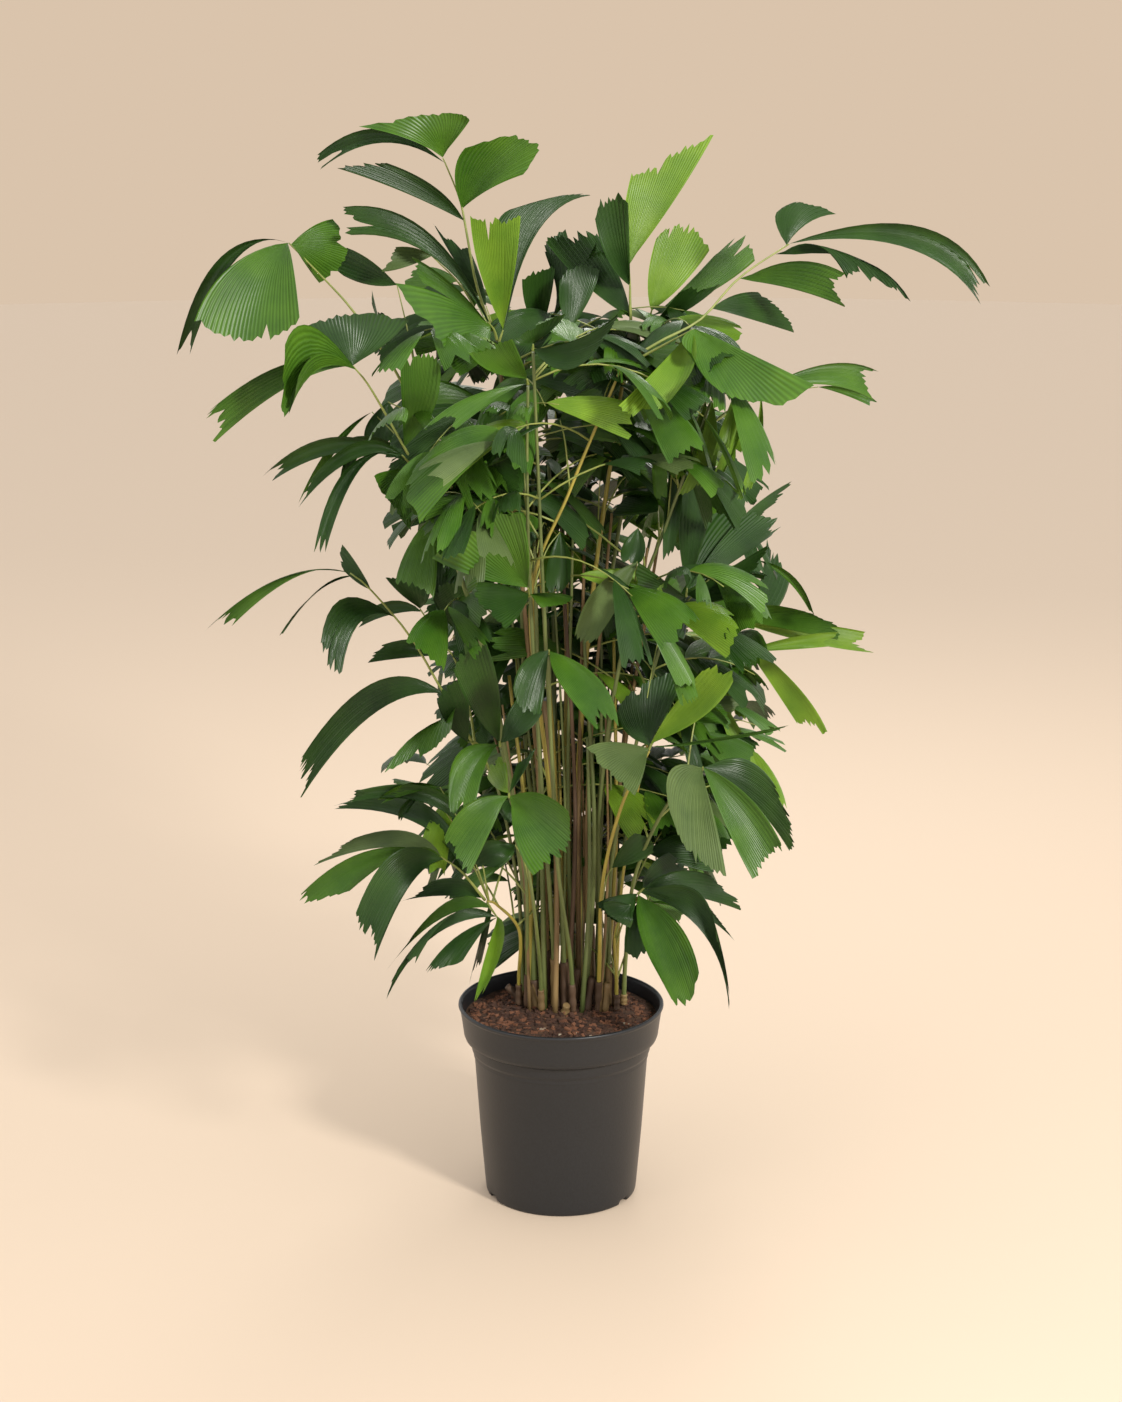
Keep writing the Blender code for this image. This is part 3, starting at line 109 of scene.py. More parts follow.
# ---------------------------------------------------------------- the fronds
# name: (stalk, rib readings, blades). The rib's first reading is at its stalk.
# A blade: where it leaves the rib, then the two corners and the middle of its
# ragged end (corner, middle, corner), how far its middle bows (across, down),
# how far its margins belly out, and how far its end comes forward (-) or back.
FRONDS = {
    "frond_crown_tip": ("stalk_crown_tip", [(492, 331, .06), (476, 283, .06), (465, 224, .06), (459, 197, .06), (443, 158, .05)], [
        (442, 156, 355, 126, 438, 110, 470, 120, 4, -4, 0, -.03),
        (444, 163, 316, 156, 315, 166, 316, 173, 0, -28, 3, .06),
        (464, 221, 384, 162, 350, 161, 333, 167, 6, -4, 5, -.06),
        (462, 209, 465, 148, 538, 133, 525, 174, -6, -4, 3, -.04),
    ]),
    "frond_left_arch": ("stalk_left_high", [(421, 419, .02), (390, 362, .01), (353, 311, .0), (331, 286, -.01), (289, 243, -.04)], [
        (287, 242, 194, 322, 250, 346, 300, 322, -6, -14, 6, -.10),
        (292, 243, 333, 219, 349, 254, 320, 284, 0, -2, 3, .05),
        (284, 241, 176, 358, 180, 366, 188, 360, -8, -38, 5, .02),
        (392, 366, 372, 290, 372, 304, 384, 312, 0, 0, 3, .06),
    ]),
    "frond_left_fan": ("stalk_left_fore", [(417, 471, -.12), (404, 447, -.13), (371, 389, -.15), (353, 366, -.16)], [
        (353, 364, 303, 326, 352, 310, 411, 318, 0, 3, 4, .02),
        (351, 366, 208, 412, 205, 427, 210, 447, 6, -22, 3, -.05),
        (356, 370, 284, 348, 281, 432, 297, 380, -8, -28, 6, -.14),
        (404, 447, 400, 360, 425, 342, 440, 362, 6, 4, 6, -.04),
    ]),
    "frond_left_strap": ("stalk_left_fore", [(417, 474, -.122), (412, 466, -.14), (402, 455, -.16)], [
        (402, 455, 313, 558, 318, 559, 324, 557, -8, -36, 5, -.08),
        (406, 459, 298, 508, 300, 498, 303, 490, 2, -28, 5, -.03),
        (411, 464, 262, 477, 263, 480, 265, 486, 0, -28, 6, .05),
        (413, 468, 374, 476, 389, 506, 411, 531, -4, 4, 6, -.10),
    ]),
    "frond_left_bright": ("stalk_centre_bright", [(497, 340, .0), (494, 330, -.01), (488, 322, -.02)], [
        (496, 338, 342, 207, 338, 220, 343, 236, 10, -36, 4, -.04),
        (494, 333, 411, 256, 411, 268, 420, 281, 4, -4, 4, -.07),
        (490, 326, 395, 283, 440, 356, 458, 377, 6, -2, 8, -.16),
    ]),
    "frond_centre_bright": ("stalk_centre_bright", [(499, 342, .0), (503, 330, .0)], [
        (503, 328, 470, 213, 496, 211, 521, 212, -2, 0, 5, -.05),
        (504, 336, 521, 208, 572, 194, 597, 195, -16, -34, 4, .08),
    ]),
    "frond_centre_dark": ("stalk_centre_back", [(541, 340, .14), (543, 326, .14)], [
        (543, 324, 597, 241, 611, 239, 622, 227, 2, 8, 4, -.05),
        (540, 336, 522, 279, 542, 261, 555, 267, -1, 0, 4, -.03),
        (543, 333, 565, 228, 545, 241, 548, 262, 14, 4, 3, .05),
    ]),
    "frond_fore_left": ("stalk_fore_left", [(528, 384, -.25), (527, 379, -.26)], [
        (527, 378, 468, 352, 487, 342, 512, 338, -2, 5, 5, -.10),
        (527, 384, 455, 430, 437, 427, 421, 432, 0, -10, 9, -.16),
    ]),
    "frond_fore_right": ("stalk_fore_right", [(533, 350, -.25), (533, 344, -.255)], [
        (534, 343, 512, 341, 536, 324, 566, 313, 1, 2, 3, -.03),
        (533, 349, 621, 311, 611, 334, 591, 357, 2, 12, 6, -.10),
    ]),
    "frond_right_tall": ("stalk_right_tall", [(631, 325, .05), (630, 300, .05), (630, 286, .05), (629, 266, .05)], [
        (629, 263, 632, 172, 672, 146, 717, 129, -2, 4, 6, .04),
        (630, 286, 595, 219, 608, 185, 628, 200, -2, 6, 3, -.03),
        (631, 318, 545, 241, 562, 227, 594, 229, 2, 4, 5, .07),
    ]),
    "frond_right_wide": ("stalk_right_wide", [(649, 332, .09), (650, 318, .09), (652, 309, .09)], [
        (651, 311, 657, 236, 687, 213, 711, 248, -2, 4, 4, .03),
        (653, 316, 712, 258, 748, 231, 758, 258, 0, 6, 4, .09),
        (650, 328, 679, 292, 700, 284, 722, 283, 0, 4, 4, -.05),
    ]),
    "frond_right_arm": ("stalk_yellow", [(624, 363, -.16), (661, 341, -.15), (701, 319, -.13), (739, 278, -.10), (789, 244, -.07)], [
        (790, 243, 992, 291, 985, 300, 984, 310, 26, -34, 7, -.02),
        (786, 245, 784, 209, 806, 201, 838, 214, -6, -8, 4, .05),
        (777, 257, 911, 302, 880, 288, 848, 281, 10, -22, 7, -.06),
        (742, 280, 846, 274, 841, 290, 849, 309, 2, -10, 6, -.10),
        (712, 308, 758, 292, 784, 311, 795, 333, 2, -2, 4, .06),
    ]),
    "frond_right_fan": ("stalk_yellow", [(625, 366, -.163), (660, 347, -.18), (694, 329, -.20)], [
        (696, 328, 691, 353, 745, 409, 816, 386, 0, 2, 12, -.06),
        (692, 330, 618, 406, 646, 419, 680, 388, 4, 2, 6, -.10),
        (686, 334, 656, 419, 681, 424, 701, 408, 2, 2, 5, -.02),
    ]),
    "frond_right_hang": ("stalk_right_hang", [(712, 399, -.12), (730, 392, -.13), (760, 393, -.14)], [
        (712, 399, 676, 499, 692, 497, 708, 491, 5, 4, 3, -.03),
        (735, 392, 713, 456, 722, 453, 730, 450, 1, 0, 3, -.02),
        (761, 394, 736, 503, 744, 498, 751, 490, 5, 2, 2, -.03),
        (755, 393, 881, 373, 872, 381, 876, 402, 8, -16, 3, .06),
    ]),
    "frond_right_mid": ("stalk_right_mid", [(686, 597, -.03), (687, 588, -.03)], [
        (687, 587, 686, 468, 700, 455, 716, 466, -1, 0, 7, .02),
        (688, 590, 715, 511, 778, 516, 771, 536, -4, 0, 4, .09),
        (687, 594, 768, 545, 762, 565, 741, 591, 2, 3, 8, -.06),
        (684, 596, 638, 562, 640, 608, 683, 640, 0, 2, 6, -.14),
        (687, 592, 792, 481, 785, 496, 766, 513, -8, -8, 6, .14),
    ]),
    "frond_right_low": ("stalk_right_low", [(702, 669, .16), (728, 637, .16), (745, 622, .15)], [
        (746, 621, 786, 607, 835, 622, 838, 640, 0, -3, 8, -.04),
        (744, 624, 866, 632, 868, 645, 878, 653, 0, 0, 6, .04),
        (724, 642, 735, 679, 754, 676, 769, 658, 2, -16, 8, -.17),
        (735, 632, 798, 725, 815, 736, 829, 736, 6, -2, 9, .04),
        (730, 637, 725, 716, 735, 718, 746, 721, -2, 4, 3, -.06),
        (741, 626, 767, 538, 779, 548, 790, 580, 6, 8, 3, .10),
        (716, 654, 640, 735, 652, 713, 690, 690, 4, -2, 8, -.08),
    ]),
    "frond_right_fore": ("stalk_right_fore", [(649, 749, -.18), (651, 744, -.185)], [
        (651, 743, 704, 669, 728, 661, 734, 680, 4, 2, 8, -.06),
        (648, 745, 617, 711, 641, 683, 692, 664, -2, 2, 5, .05),
        (652, 747, 790, 725, 776, 731, 757, 734, 0, 2, 6, -.02),
        (648, 748, 586, 748, 608, 776, 634, 797, -2, -2, 6, -.14),
    ]),
    "frond_right_gloss": ("stalk_right_gloss", [(702, 770, -.20), (703, 767, -.205)], [
        (700, 767, 670, 812, 696, 870, 727, 880, -6, -8, 14, -.14),
        (703, 767, 753, 880, 778, 868, 782, 845, 2, -4, 7, -.06),
        (706, 768, 790, 852, 797, 835, 775, 785, 4, -12, 6, .03),
    ]),
    "frond_centre_fore": ("stalk_centre_fore", [(549, 654, -.24), (549, 650, -.245)], [
        (548, 650, 513, 690, 523, 716, 540, 716, -3, -4, 6, -.06),
        (551, 651, 598, 731, 610, 729, 619, 731, 0, -10, 16, -.12),
    ]),
    "frond_centre_face": ("stalk_fore_left", [(529, 596, -.163), (528, 588, -.185)], [
        (527, 587, 431, 558, 478, 514, 522, 512, 2, 4, 3, -.07),
        (530, 594, 478, 582, 476, 604, 504, 630, 0, 0, 4, -.14),
        (531, 594, 574, 597, 566, 606, 541, 608, 0, -2, 2, -.03),
    ]),
    "frond_left_mid": ("stalk_left_mid", [(476, 749, -.02), (457, 715, -.03), (440, 687, -.04), (410, 636, -.05), (369, 588, -.06), (350, 573, -.06)], [
        (349, 573, 202, 634, 212, 629, 227, 631, 4, -24, 3, .03),
        (353, 576, 279, 636, 281, 637, 282, 633, 0, -14, 4, -.04),
        (395, 617, 320, 650, 326, 668, 341, 679, -12, -30, 6, -.10),
        (372, 590, 342, 544, 339, 557, 343, 570, 0, 0, 3, .04),
        (457, 713, 383, 776, 424, 758, 451, 731, -4, -10, 6, -.09),
        (444, 694, 300, 760, 293, 790, 295, 808, 2, -40, 5, .0),
    ]),
    "frond_left_thin": ("stalk_left_mid", [(475, 748, -.01), (470, 712, .04), (456, 662, .04), (444, 645, .04), (420, 609, .04)], [
        (420, 608, 385, 577, 402, 575, 431, 588, 0, 2, 2, -.02),
        (422, 611, 358, 628, 360, 621, 364, 613, 0, -8, 4, .05),
        (444, 643, 436, 560, 450, 552, 467, 591, -2, 2, 5, .05),
        (447, 655, 367, 663, 372, 654, 379, 646, 2, -6, 6, -.03),
        (468, 705, 437, 702, 440, 686, 464, 677, 0, 0, 4, .04),
    ]),
    "frond_left_pair": ("stalk_left_pair", [(500, 746, -.15), (500, 741, -.155)], [
        (499, 742, 453, 668, 466, 636, 486, 642, 2, 3, 6, -.08),
        (502, 743, 516, 700, 538, 696, 543, 712, 0, 2, 5, .03),
        (498, 745, 449, 800, 454, 820, 474, 812, -8, -16, 8, -.08),
    ]),
    "frond_left_drape": ("stalk_left_drape", [(509, 797, -.21), (509, 793, -.213)], [
        (512, 796, 570, 813, 572, 856, 534, 877, -4, -4, 8, -.10),
        (506, 796, 444, 838, 448, 862, 469, 876, -2, -8, 7, -.05),
        (507, 793, 487, 777, 492, 760, 504, 756, 0, 0, 3, .10),
        (510, 793, 517, 764, 528, 752, 537, 745, 0, 2, 3, .05),
    ]),
    "frond_left_foot": ("stalk_left_foot", [(485, 900, -.07), (462, 872, -.09), (441, 857, -.10)], [
        (439, 855, 300, 895, 303, 908, 344, 896, 6, -24, 8, -.02),
        (444, 860, 374, 962, 362, 950, 355, 915, -2, -30, 6, -.10),
        (441, 854, 313, 866, 330, 850, 352, 839, 6, -14, 3, .07),
        (466, 876, 333, 809, 340, 800, 352, 790, 20, -22, 4, .12),
        (482, 899, 397, 902, 412, 896, 427, 882, 4, -8, 6, .02),
    ]),
    "frond_left_skirt": ("stalk_left_foot", [(487, 903, -.072), (497, 917, -.10)], [
        (496, 917, 386, 1000, 392, 980, 412, 970, -4, -26, 5, -.06),
        (498, 918, 425, 972, 431, 976, 462, 962, 0, -10, 5, -.13),
        (491, 908, 385, 972, 396, 958, 412, 936, 2, -22, 3, .05),
        (499, 915, 474, 1003, 476, 1001, 479, 1000, 6, -6, 9, -.16),
        (489, 905, 469, 986, 471, 979, 480, 968, 4, -14, 4, .24),
    ]),
    "frond_right_foot": ("stalk_right_foot", [(638, 894, -.06), (644, 888, -.065)], [
        (645, 887, 712, 876, 737, 896, 742, 911, 2, -6, 6, .05),
        (644, 890, 735, 941, 724, 924, 712, 910, 4, -8, 4, .0),
        (641, 893, 729, 1010, 728, 985, 716, 940, 18, -22, 5, -.05),
        (638, 896, 667, 988, 688, 1018, 700, 979, 0, -8, 12, -.13),
        (636, 893, 597, 903, 602, 916, 627, 926, 0, 0, 3, -.05),
        (641, 887, 690, 872, 686, 864, 670, 852, 0, -2, 5, .12),
    ]),
}
# Fronds that lean away behind the ones above: name: (stalk, rib, spread, blades)
# Their blades follow one rule, so they are given by the rib and a fan of sizes.
BACK_FRONDS = {
    "frond_back_mid": ("stalk_back_mid", [(556, 418, .36), (558, 372, .42), (562, 345, .50), (566, 335, .57)], 10, 0.150),
    "frond_back_left": ("stalk_back_left", [(470, 478, .33), (462, 440, .38), (458, 415, .45), (456, 405, .52)], 9, 0.140),
    "frond_back_right": ("stalk_back_right", [(662, 488, .33), (667, 440, .38), (672, 410, .45), (674, 400, .52)], 9, 0.140),
}

scene = bpy.context.scene
AIR = 0.98
scene.view_settings.view_transform = "Standard"


# ---------------------------------------------------------------- camera, light, floor
def set_camera():
    data = bpy.data.cameras.new("camera")
    data.sensor_fit = "VERTICAL"
    data.sensor_height = 36.0
    data.lens = 36.0 * REACH / 1402
    cam = bpy.data.objects.new("camera", data)
    cam.location = (0, -STAND_BACK, STAND_UP)
    cam.rotation_euler = (math.pi / 2 - LOOK_DOWN, 0, 0)
    scene.collection.objects.link(cam)
    scene.camera = cam


def area(name, place, aim, size, power, colour):
    data = bpy.data.lights.new(name, "AREA")
    data.shape = "DISK"
    data.size = size
    data.energy = power
    data.color = colour
    lamp = bpy.data.objects.new(name, data)
    lamp.location = place
    lamp.rotation_euler = (Vector(aim) - Vector(place)).to_track_quat("-Z", "Y").to_euler()
    scene.collection.objects.link(lamp)


def nodes_for(name):
    made = bpy.data.materials.new(name)
    made.use_nodes = True
    return made, made.node_tree, made.node_tree.nodes["Principled BSDF"]


def plain_floor():
    made, tree, shader = nodes_for("floor_warm")
    shader.inputs["Base Color"].default_value = (0.70, 0.565, 0.435, 1)
    shader.inputs["Roughness"].default_value = 0.75
    shader.inputs["Specular IOR Level"].default_value = 0.2
    bm = bmesh.new()
    bmesh.ops.create_circle(bm, cap_ends=True, cap_tris=True, segments=96, radius=14)
    mesh = bpy.data.meshes.new("floor")
    bm.to_mesh(mesh)
    bm.free()
    floor = bpy.data.objects.new("floor", mesh)
    floor.data.materials.append(made)
    scene.collection.objects.link(floor)


def set_world():
    world = bpy.data.worlds.new("air")
    scene.world = world
    world.use_nodes = True
    tree = world.node_tree
    tree.nodes.clear()
    out = tree.nodes.new("ShaderNodeOutputWorld")
    mix = tree.nodes.new("ShaderNodeMixShader")
    path = tree.nodes.new("ShaderNodeLightPath")
    seen_air = tree.nodes.new("ShaderNodeBackground")
    seen_air.inputs["Color"].default_value = (0.715, 0.563, 0.422, 1)
    seen_air.inputs["Strength"].default_value = AIR
    light = tree.nodes.new("ShaderNodeBackground")
    light.inputs["Color"].default_value = (1.0, 0.975, 0.95, 1)
    light.inputs["Strength"].default_value = AIR
    tree.links.new(path.outputs["Is Camera Ray"], mix.inputs["Fac"])
    tree.links.new(light.outputs[0], mix.inputs[1])
    tree.links.new(seen_air.outputs[0], mix.inputs[2])
    tree.links.new(mix.outputs[0], out.inputs["Surface"])


# ---------------------------------------------------------------- materials
def leaf_material(name, colour, dark, rough):
    """A leaf's green: fine veins run along the leaflet, with a slow mottle over them."""
    made, tree, shader = nodes_for(name)
    new, link = tree.nodes.new, tree.links.new
    uv = new("ShaderNodeUVMap")
    split = new("ShaderNodeSeparateXYZ")
    link(uv.outputs["UV"], split.inputs[0])
    lines = new("ShaderNodeMath"); lines.operation = "MULTIPLY"
    lines.inputs[1].default_value = 2 * math.pi * 26
    link(split.outputs["X"], lines.inputs[0])
    wave = new("ShaderNodeMath"); wave.operation = "SINE"
    link(lines.outputs[0], wave.inputs[0])
    coord = new("ShaderNodeTexCoord")
    mottle = new("ShaderNodeTexNoise")
    mottle.inputs["Scale"].default_value = 16.0
    mottle.inputs["Detail"].default_value = 4.0
    link(coord.outputs["Object"], mottle.inputs["Vector"])
    ramp = new("ShaderNodeMapRange")
    ramp.inputs["From Min"].default_value = 0.30
    ramp.inputs["From Max"].default_value = 0.70
    link(mottle.outputs["Fac"], ramp.inputs["Value"])
    mix = new("ShaderNodeMix"); mix.data_type = "RGBA"
    mix.inputs["A"].default_value = colour
    mix.inputs["B"].default_value = dark
    link(ramp.outputs["Result"], mix.inputs["Factor"])
    stripe = new("ShaderNodeMapRange")
    stripe.inputs["From Min"].default_value = -1.0
    stripe.inputs["From Max"].default_value = 1.0
    stripe.inputs["To Min"].default_value = 0.84
    stripe.inputs["To Max"].default_value = 1.10
    link(wave.outputs[0], stripe.inputs["Value"])
    shade = new("ShaderNodeMix"); shade.data_type = "RGBA"; shade.blend_type = "MULTIPLY"
    shade.inputs["Factor"].default_value = 1.0
    link(mix.outputs["Result"], shade.inputs["A"])
    link(stripe.outputs["Result"], shade.inputs["B"])
    link(shade.outputs["Result"], shader.inputs["Base Color"])
    shader.inputs["Roughness"].default_value = rough
    shader.inputs["Specular IOR Level"].default_value = 0.34
    bump = new("ShaderNodeBump")
    bump.inputs["Strength"].default_value = 0.35
    bump.inputs["Distance"].default_value = 0.0012
    link(wave.outputs[0], bump.inputs["Height"])
    link(bump.outputs["Normal"], shader.inputs["Normal"])
    return made


def plain_material(name, colour, dark, rough, scale, bump_size, stretch=(1, 1, 1)):
    made, tree, shader = nodes_for(name)
    new, link = tree.nodes.new, tree.links.new
    coord = new("ShaderNodeTexCoord")
    place = new("ShaderNodeMapping")
    place.inputs["Scale"].default_value = stretch
    link(coord.outputs["Object"], place.inputs["Vector"])
    grain = new("ShaderNodeTexNoise")
    grain.inputs["Scale"].default_value = scale
    grain.inputs["Detail"].default_value = 6.0
    link(place.outputs["Vector"], grain.inputs["Vector"])
    ramp = new("ShaderNodeMapRange")
    ramp.inputs["From Min"].default_value = 0.32
    ramp.inputs["From Max"].default_value = 0.68
    link(grain.outputs["Fac"], ramp.inputs["Value"])
    mix = new("ShaderNodeMix"); mix.data_type = "RGBA"
    mix.inputs["A"].default_value = dark
    mix.inputs["B"].default_value = colour
    link(ramp.outputs["Result"], mix.inputs["Factor"])
    link(mix.outputs["Result"], shader.inputs["Base Color"])
    shader.inputs["Roughness"].default_value = rough
    bump = new("ShaderNodeBump")
    bump.inputs["Strength"].default_value = 0.5
    bump.inputs["Distance"].default_value = bump_size
    link(grain.outputs["Fac"], bump.inputs["Height"])
    link(bump.outputs["Normal"], shader.inputs["Normal"])
    return made


# ---------------------------------------------------------------- shapes
def through(points, t):
    last = len(points) - 1
    at = min(max(t, 0.0), 1.0) * last
    i = min(int(at), last - 1)
    s = at - i
    p1, p2 = points[i], points[i + 1]
    p0 = points[i - 1] if i else p1 * 2 - p2
    p3 = points[i + 2] if i + 2 <= last else p2 * 2 - p1
    return 0.5 * (
        p1 * 2
        + (p2 - p0) * s
        + (p0 * 2 - p1 * 5 + p2 * 4 - p3) * (s * s)
        + (p1 * 3 - p0 - p2 * 3 + p3) * (s * s * s)
    )


def add_tube(bm, points, radius_of, sides, slot=0):
    rows = []
    side = Vector((1, 0, 0))
    count = len(points)
    for i, p in enumerate(points):
        ahead = (points[min(i + 1, count - 1)] - points[max(i - 1, 0)]).normalized()
        side = side - ahead * side.dot(ahead)
        side = side.normalized() if side.length > 1e-5 else ahead.orthogonal().normalized()
        other = ahead.cross(side)
        r = radius_of(i / (count - 1))
        rows.append([
            bm.verts.new(p + (side * math.cos(2 * math.pi * k / sides) + other * math.sin(2 * math.pi * k / sides)) * r)
            for k in range(sides)
        ])
    for low, high in zip(rows, rows[1:]):
        for k in range(sides):
            n = (k + 1) % sides
            face = bm.faces.new((low[k], low[n], high[n], high[k]))
            face.material_index = slot
            face.smooth = True
    for cap in (list(reversed(rows[0])), rows[-1]):
        bm.faces.new(cap).material_index = slot


def ragged(across, rng, torn=0.45):
    """How far short of the outline each vein stops: teeth, steps and a few slits."""
    step, made = 0.0, []
    for i in range(across + 1):
        if rng.random() < 0.30:
            step = rng.uniform(0.0, 0.16) * (0.4 + 0.6 * torn)
        made.append(step + rng.uniform(0.0, 0.035) + (0.030 if i % 2 else 0.0))
    for _ in range(rng.choice((0, 1, 1, 2))):
        at = rng.randint(1, max(1, across - 1))
        made[at] += rng.uniform(0.10, 0.26) * torn
    return made


def leaflet(bm, uv_layer, foot, y_foot, row, rng, slot):
    """One wedge of leaf: veins fan from its foot to a ragged end, in shallow pleats."""
    bu, bv, lu, lv, tu, tv, ru, rv, bow_u, bow_v, belly, lean = row
    span = math.hypot(tu - bu, tv - bv)
    width = math.hypot(lu - ru, lv - rv)
    across = max(5, min(23, int(width / 6) * 2 + 5))
    along = max(7, min(15, int(span / 9)))
    mid = ((lu + ru) / 2, (lv + rv) / 2)
    ends = []
    for end, out in (((lu, lv), 1), ((tu, tv), 0), ((ru, rv), 1)):
        mu, mv = (bu + end[0]) / 2 + bow_u, (bv + end[1]) / 2 + bow_v
        if out:
            du, dv = end[0] - mid[0], end[1] - mid[1]
            size = math.hypot(du, dv) or 1.0
            mu, mv = mu + du / size * belly, mv + dv / size * belly
        ends.append((end, (2 * mu - (bu + end[0]) / 2, 2 * mv - (bv + end[1]) / 2)))
    pleat = 0.0016 + 0.0010 * rng.random()
    phase = rng.random() * 6.28
    teeth = ragged(across, rng)
    grid = []
    for j in range(along + 1):
        line = []
        for i in range(across + 1):
            s = i / across
            w0, w1, w2 = 2 * (s - .5) * (s - 1), 4 * s * (1 - s), 2 * s * (s - .5)
            edge = 1 - 4 * (s - .5) ** 2
            t = min(j / along * (1.0 - teeth[i] * (0.3 + 0.7 * edge)), 1.0)
            u = v = 0.0
            for w, (end, ctrl) in zip((w0, w1, w2), ends):
                u += w * (bu * (1 - t) ** 2 + ctrl[0] * 2 * t * (1 - t) + end[0] * t * t)
                v += w * (bv * (1 - t) ** 2 + ctrl[1] * 2 * t * (1 - t) + end[1] * t * t)
            cup = 0.012 * (2 * s - 1) ** 2 * math.sin(math.pi * min(t, 0.8))
            fold = pleat * (1 if i % 2 else -1) * min(1.0, 2.4 * t) * min(1.0, width / 30)
            wave = 0.004 * math.sin(5.2 * t + 3.1 * s + phase) * t
            p = seen(u, v, y_foot + lean * t - cup + fold + wave)
            if j == 0:
                p = foot + (p - foot) * 0.25
            line.append(bm.verts.new(p))
        grid.append(line)
    for j in range(along):
        for i in range(across):
            face = bm.faces.new((grid[j][i], grid[j][i + 1], grid[j + 1][i + 1], grid[j + 1][i]))
            face.material_index = slot
            face.smooth = True
            for loop, (a, b) in zip(face.loops, ((i, j), (i + 1, j), (i + 1, j + 1), (i, j + 1))):
                loop[uv_layer].uv = (a / across, b / along)


def reading(p):
    """Where a point reads from the standing point."""
    rel = p - Vector((0, -STAND_BACK, STAND_UP))
    deep = rel.y * math.cos(LOOK_DOWN) - rel.z * math.sin(LOOK_DOWN)
    rise = rel.y * math.sin(LOOK_DOWN) + rel.z * math.cos(LOOK_DOWN)
    return MID_ACROSS + REACH * rel.x / deep, MID_DOWN - REACH * rise / deep


# the full part of the crown, as readings: (down, left, right)
FULL = [
    (150, 440, 480), (195, 400, 500), (215, 362, 600), (250, 352, 705), (300, 366, 770), (350, 360, 800),
    (400, 380, 785), (450, 372, 765), (500, 380, 775), (550, 392, 785), (600, 412, 780), (650, 422, 768),
    (700, 402, 772), (750, 384, 788), (800, 398, 782), (850, 412, 750), (900, 436, 722), (940, 462, 690),
    (975, 500, 640),
]


def within(u, v, slack=0.0):
    if v < FULL[0][0] or v > FULL[-1][0]:
        return False
    for (v0, l0, r0), (v1, l1, r1) in zip(FULL, FULL[1:]):
        if v0 <= v <= v1:
            s = (v - v0) / (v1 - v0)
            return l0 + (l1 - l0) * s - slack < u < r0 + (r1 - r0) * s + slack
    return False


def free_leaflet(bm, uv_layer, foot, ahead, side, length, width, droop, rng, slot):
    """A wedge of leaf placed in space: it leaves its foot along ahead and sinks by droop."""
    across, along = rng.choice((9, 11, 13)), 8
    teeth = ragged(across, rng, 1.0)
    lean = rng.uniform(-0.35, 0.35)
    pleat = rng.uniform(0.0010, 0.0020)
    up = side.cross(ahead)
    grid = []
    for j in range(along + 1):
        line = []
        for i in range(across + 1):
            a = 2 * i / across - 1
            t = j / along * (1.0 - teeth[i] * (1 - 0.7 * a * a))
            spread = width * (0.5 * t ** 0.70) * (1 - 0.20 * t ** 4)
            reach = length * t * (1 - 0.16 * a * a + lean * 0.22 * a)
            p = foot + ahead * reach + side * (spread * a) + up * (-0.10 * width * a * a * t)
            p += Vector((0, 0, -droop * length * t * t))
            p += up * (pleat * (1 if i % 2 else -1) * min(1.0, 3 * t))
            line.append(p)
        grid.append(line)
    grid = [[bm.verts.new(p) for p in line] for line in grid]
    for j in range(along):
        for i in range(across):
            face = bm.faces.new((grid[j][i], grid[j][i + 1], grid[j + 1][i + 1], grid[j + 1][i]))
            face.material_index = slot
            face.smooth = True
            for loop, (a, b) in zip(face.loops, ((i, j), (i + 1, j), (i + 1, j + 1), (i, j + 1))):
                loop[uv_layer].uv = (a / across, b / along)


# the green of each blade: 0 mid, 1 dark as painted shade, 2 bright as painted light, 3 greyish as a painted sheen
TONES = {
    "frond_crown_tip": (0, 1, 1, 0), "frond_left_arch": (0, 0, 1, 1), "frond_left_fan": (1, 0, 0, 0),
    "frond_left_strap": (1, 1, 1, 0), "frond_left_bright": (1, 0, 0), "frond_centre_bright": (2, 1),
    "frond_centre_dark": (1, 1, 1), "frond_fore_left": (0, 0), "frond_fore_right": (1, 1),
    "frond_right_tall": (2, 1, 1), "frond_right_wide": (2, 0, 1), "frond_right_arm": (1, 1, 1, 0, 1),
    "frond_right_fan": (0, 2, 1), "frond_right_hang": (2, 2, 2, 0), "frond_right_mid": (1, 1, 1, 1, 1),
    "frond_right_low": (0, 2, 0, 2, 2, 1, 0), "frond_right_fore": (2, 1, 0, 3), "frond_right_gloss": (3, 0, 1),
    "frond_centre_fore": (1, 0), "frond_centre_face": (0, 1, 0), "frond_left_mid": (0, 1, 1, 1, 0, 1),
    "frond_left_thin": (1, 1, 1, 1, 1), "frond_left_pair": (1, 1, 0), "frond_left_drape": (0, 0, 2, 1),
    "frond_left_foot": (0, 1, 3, 1, 1), "frond_left_skirt": (1, 1, 0, 2, 1), "frond_right_foot": (1, 1, 1, 0, 1, 1),
}
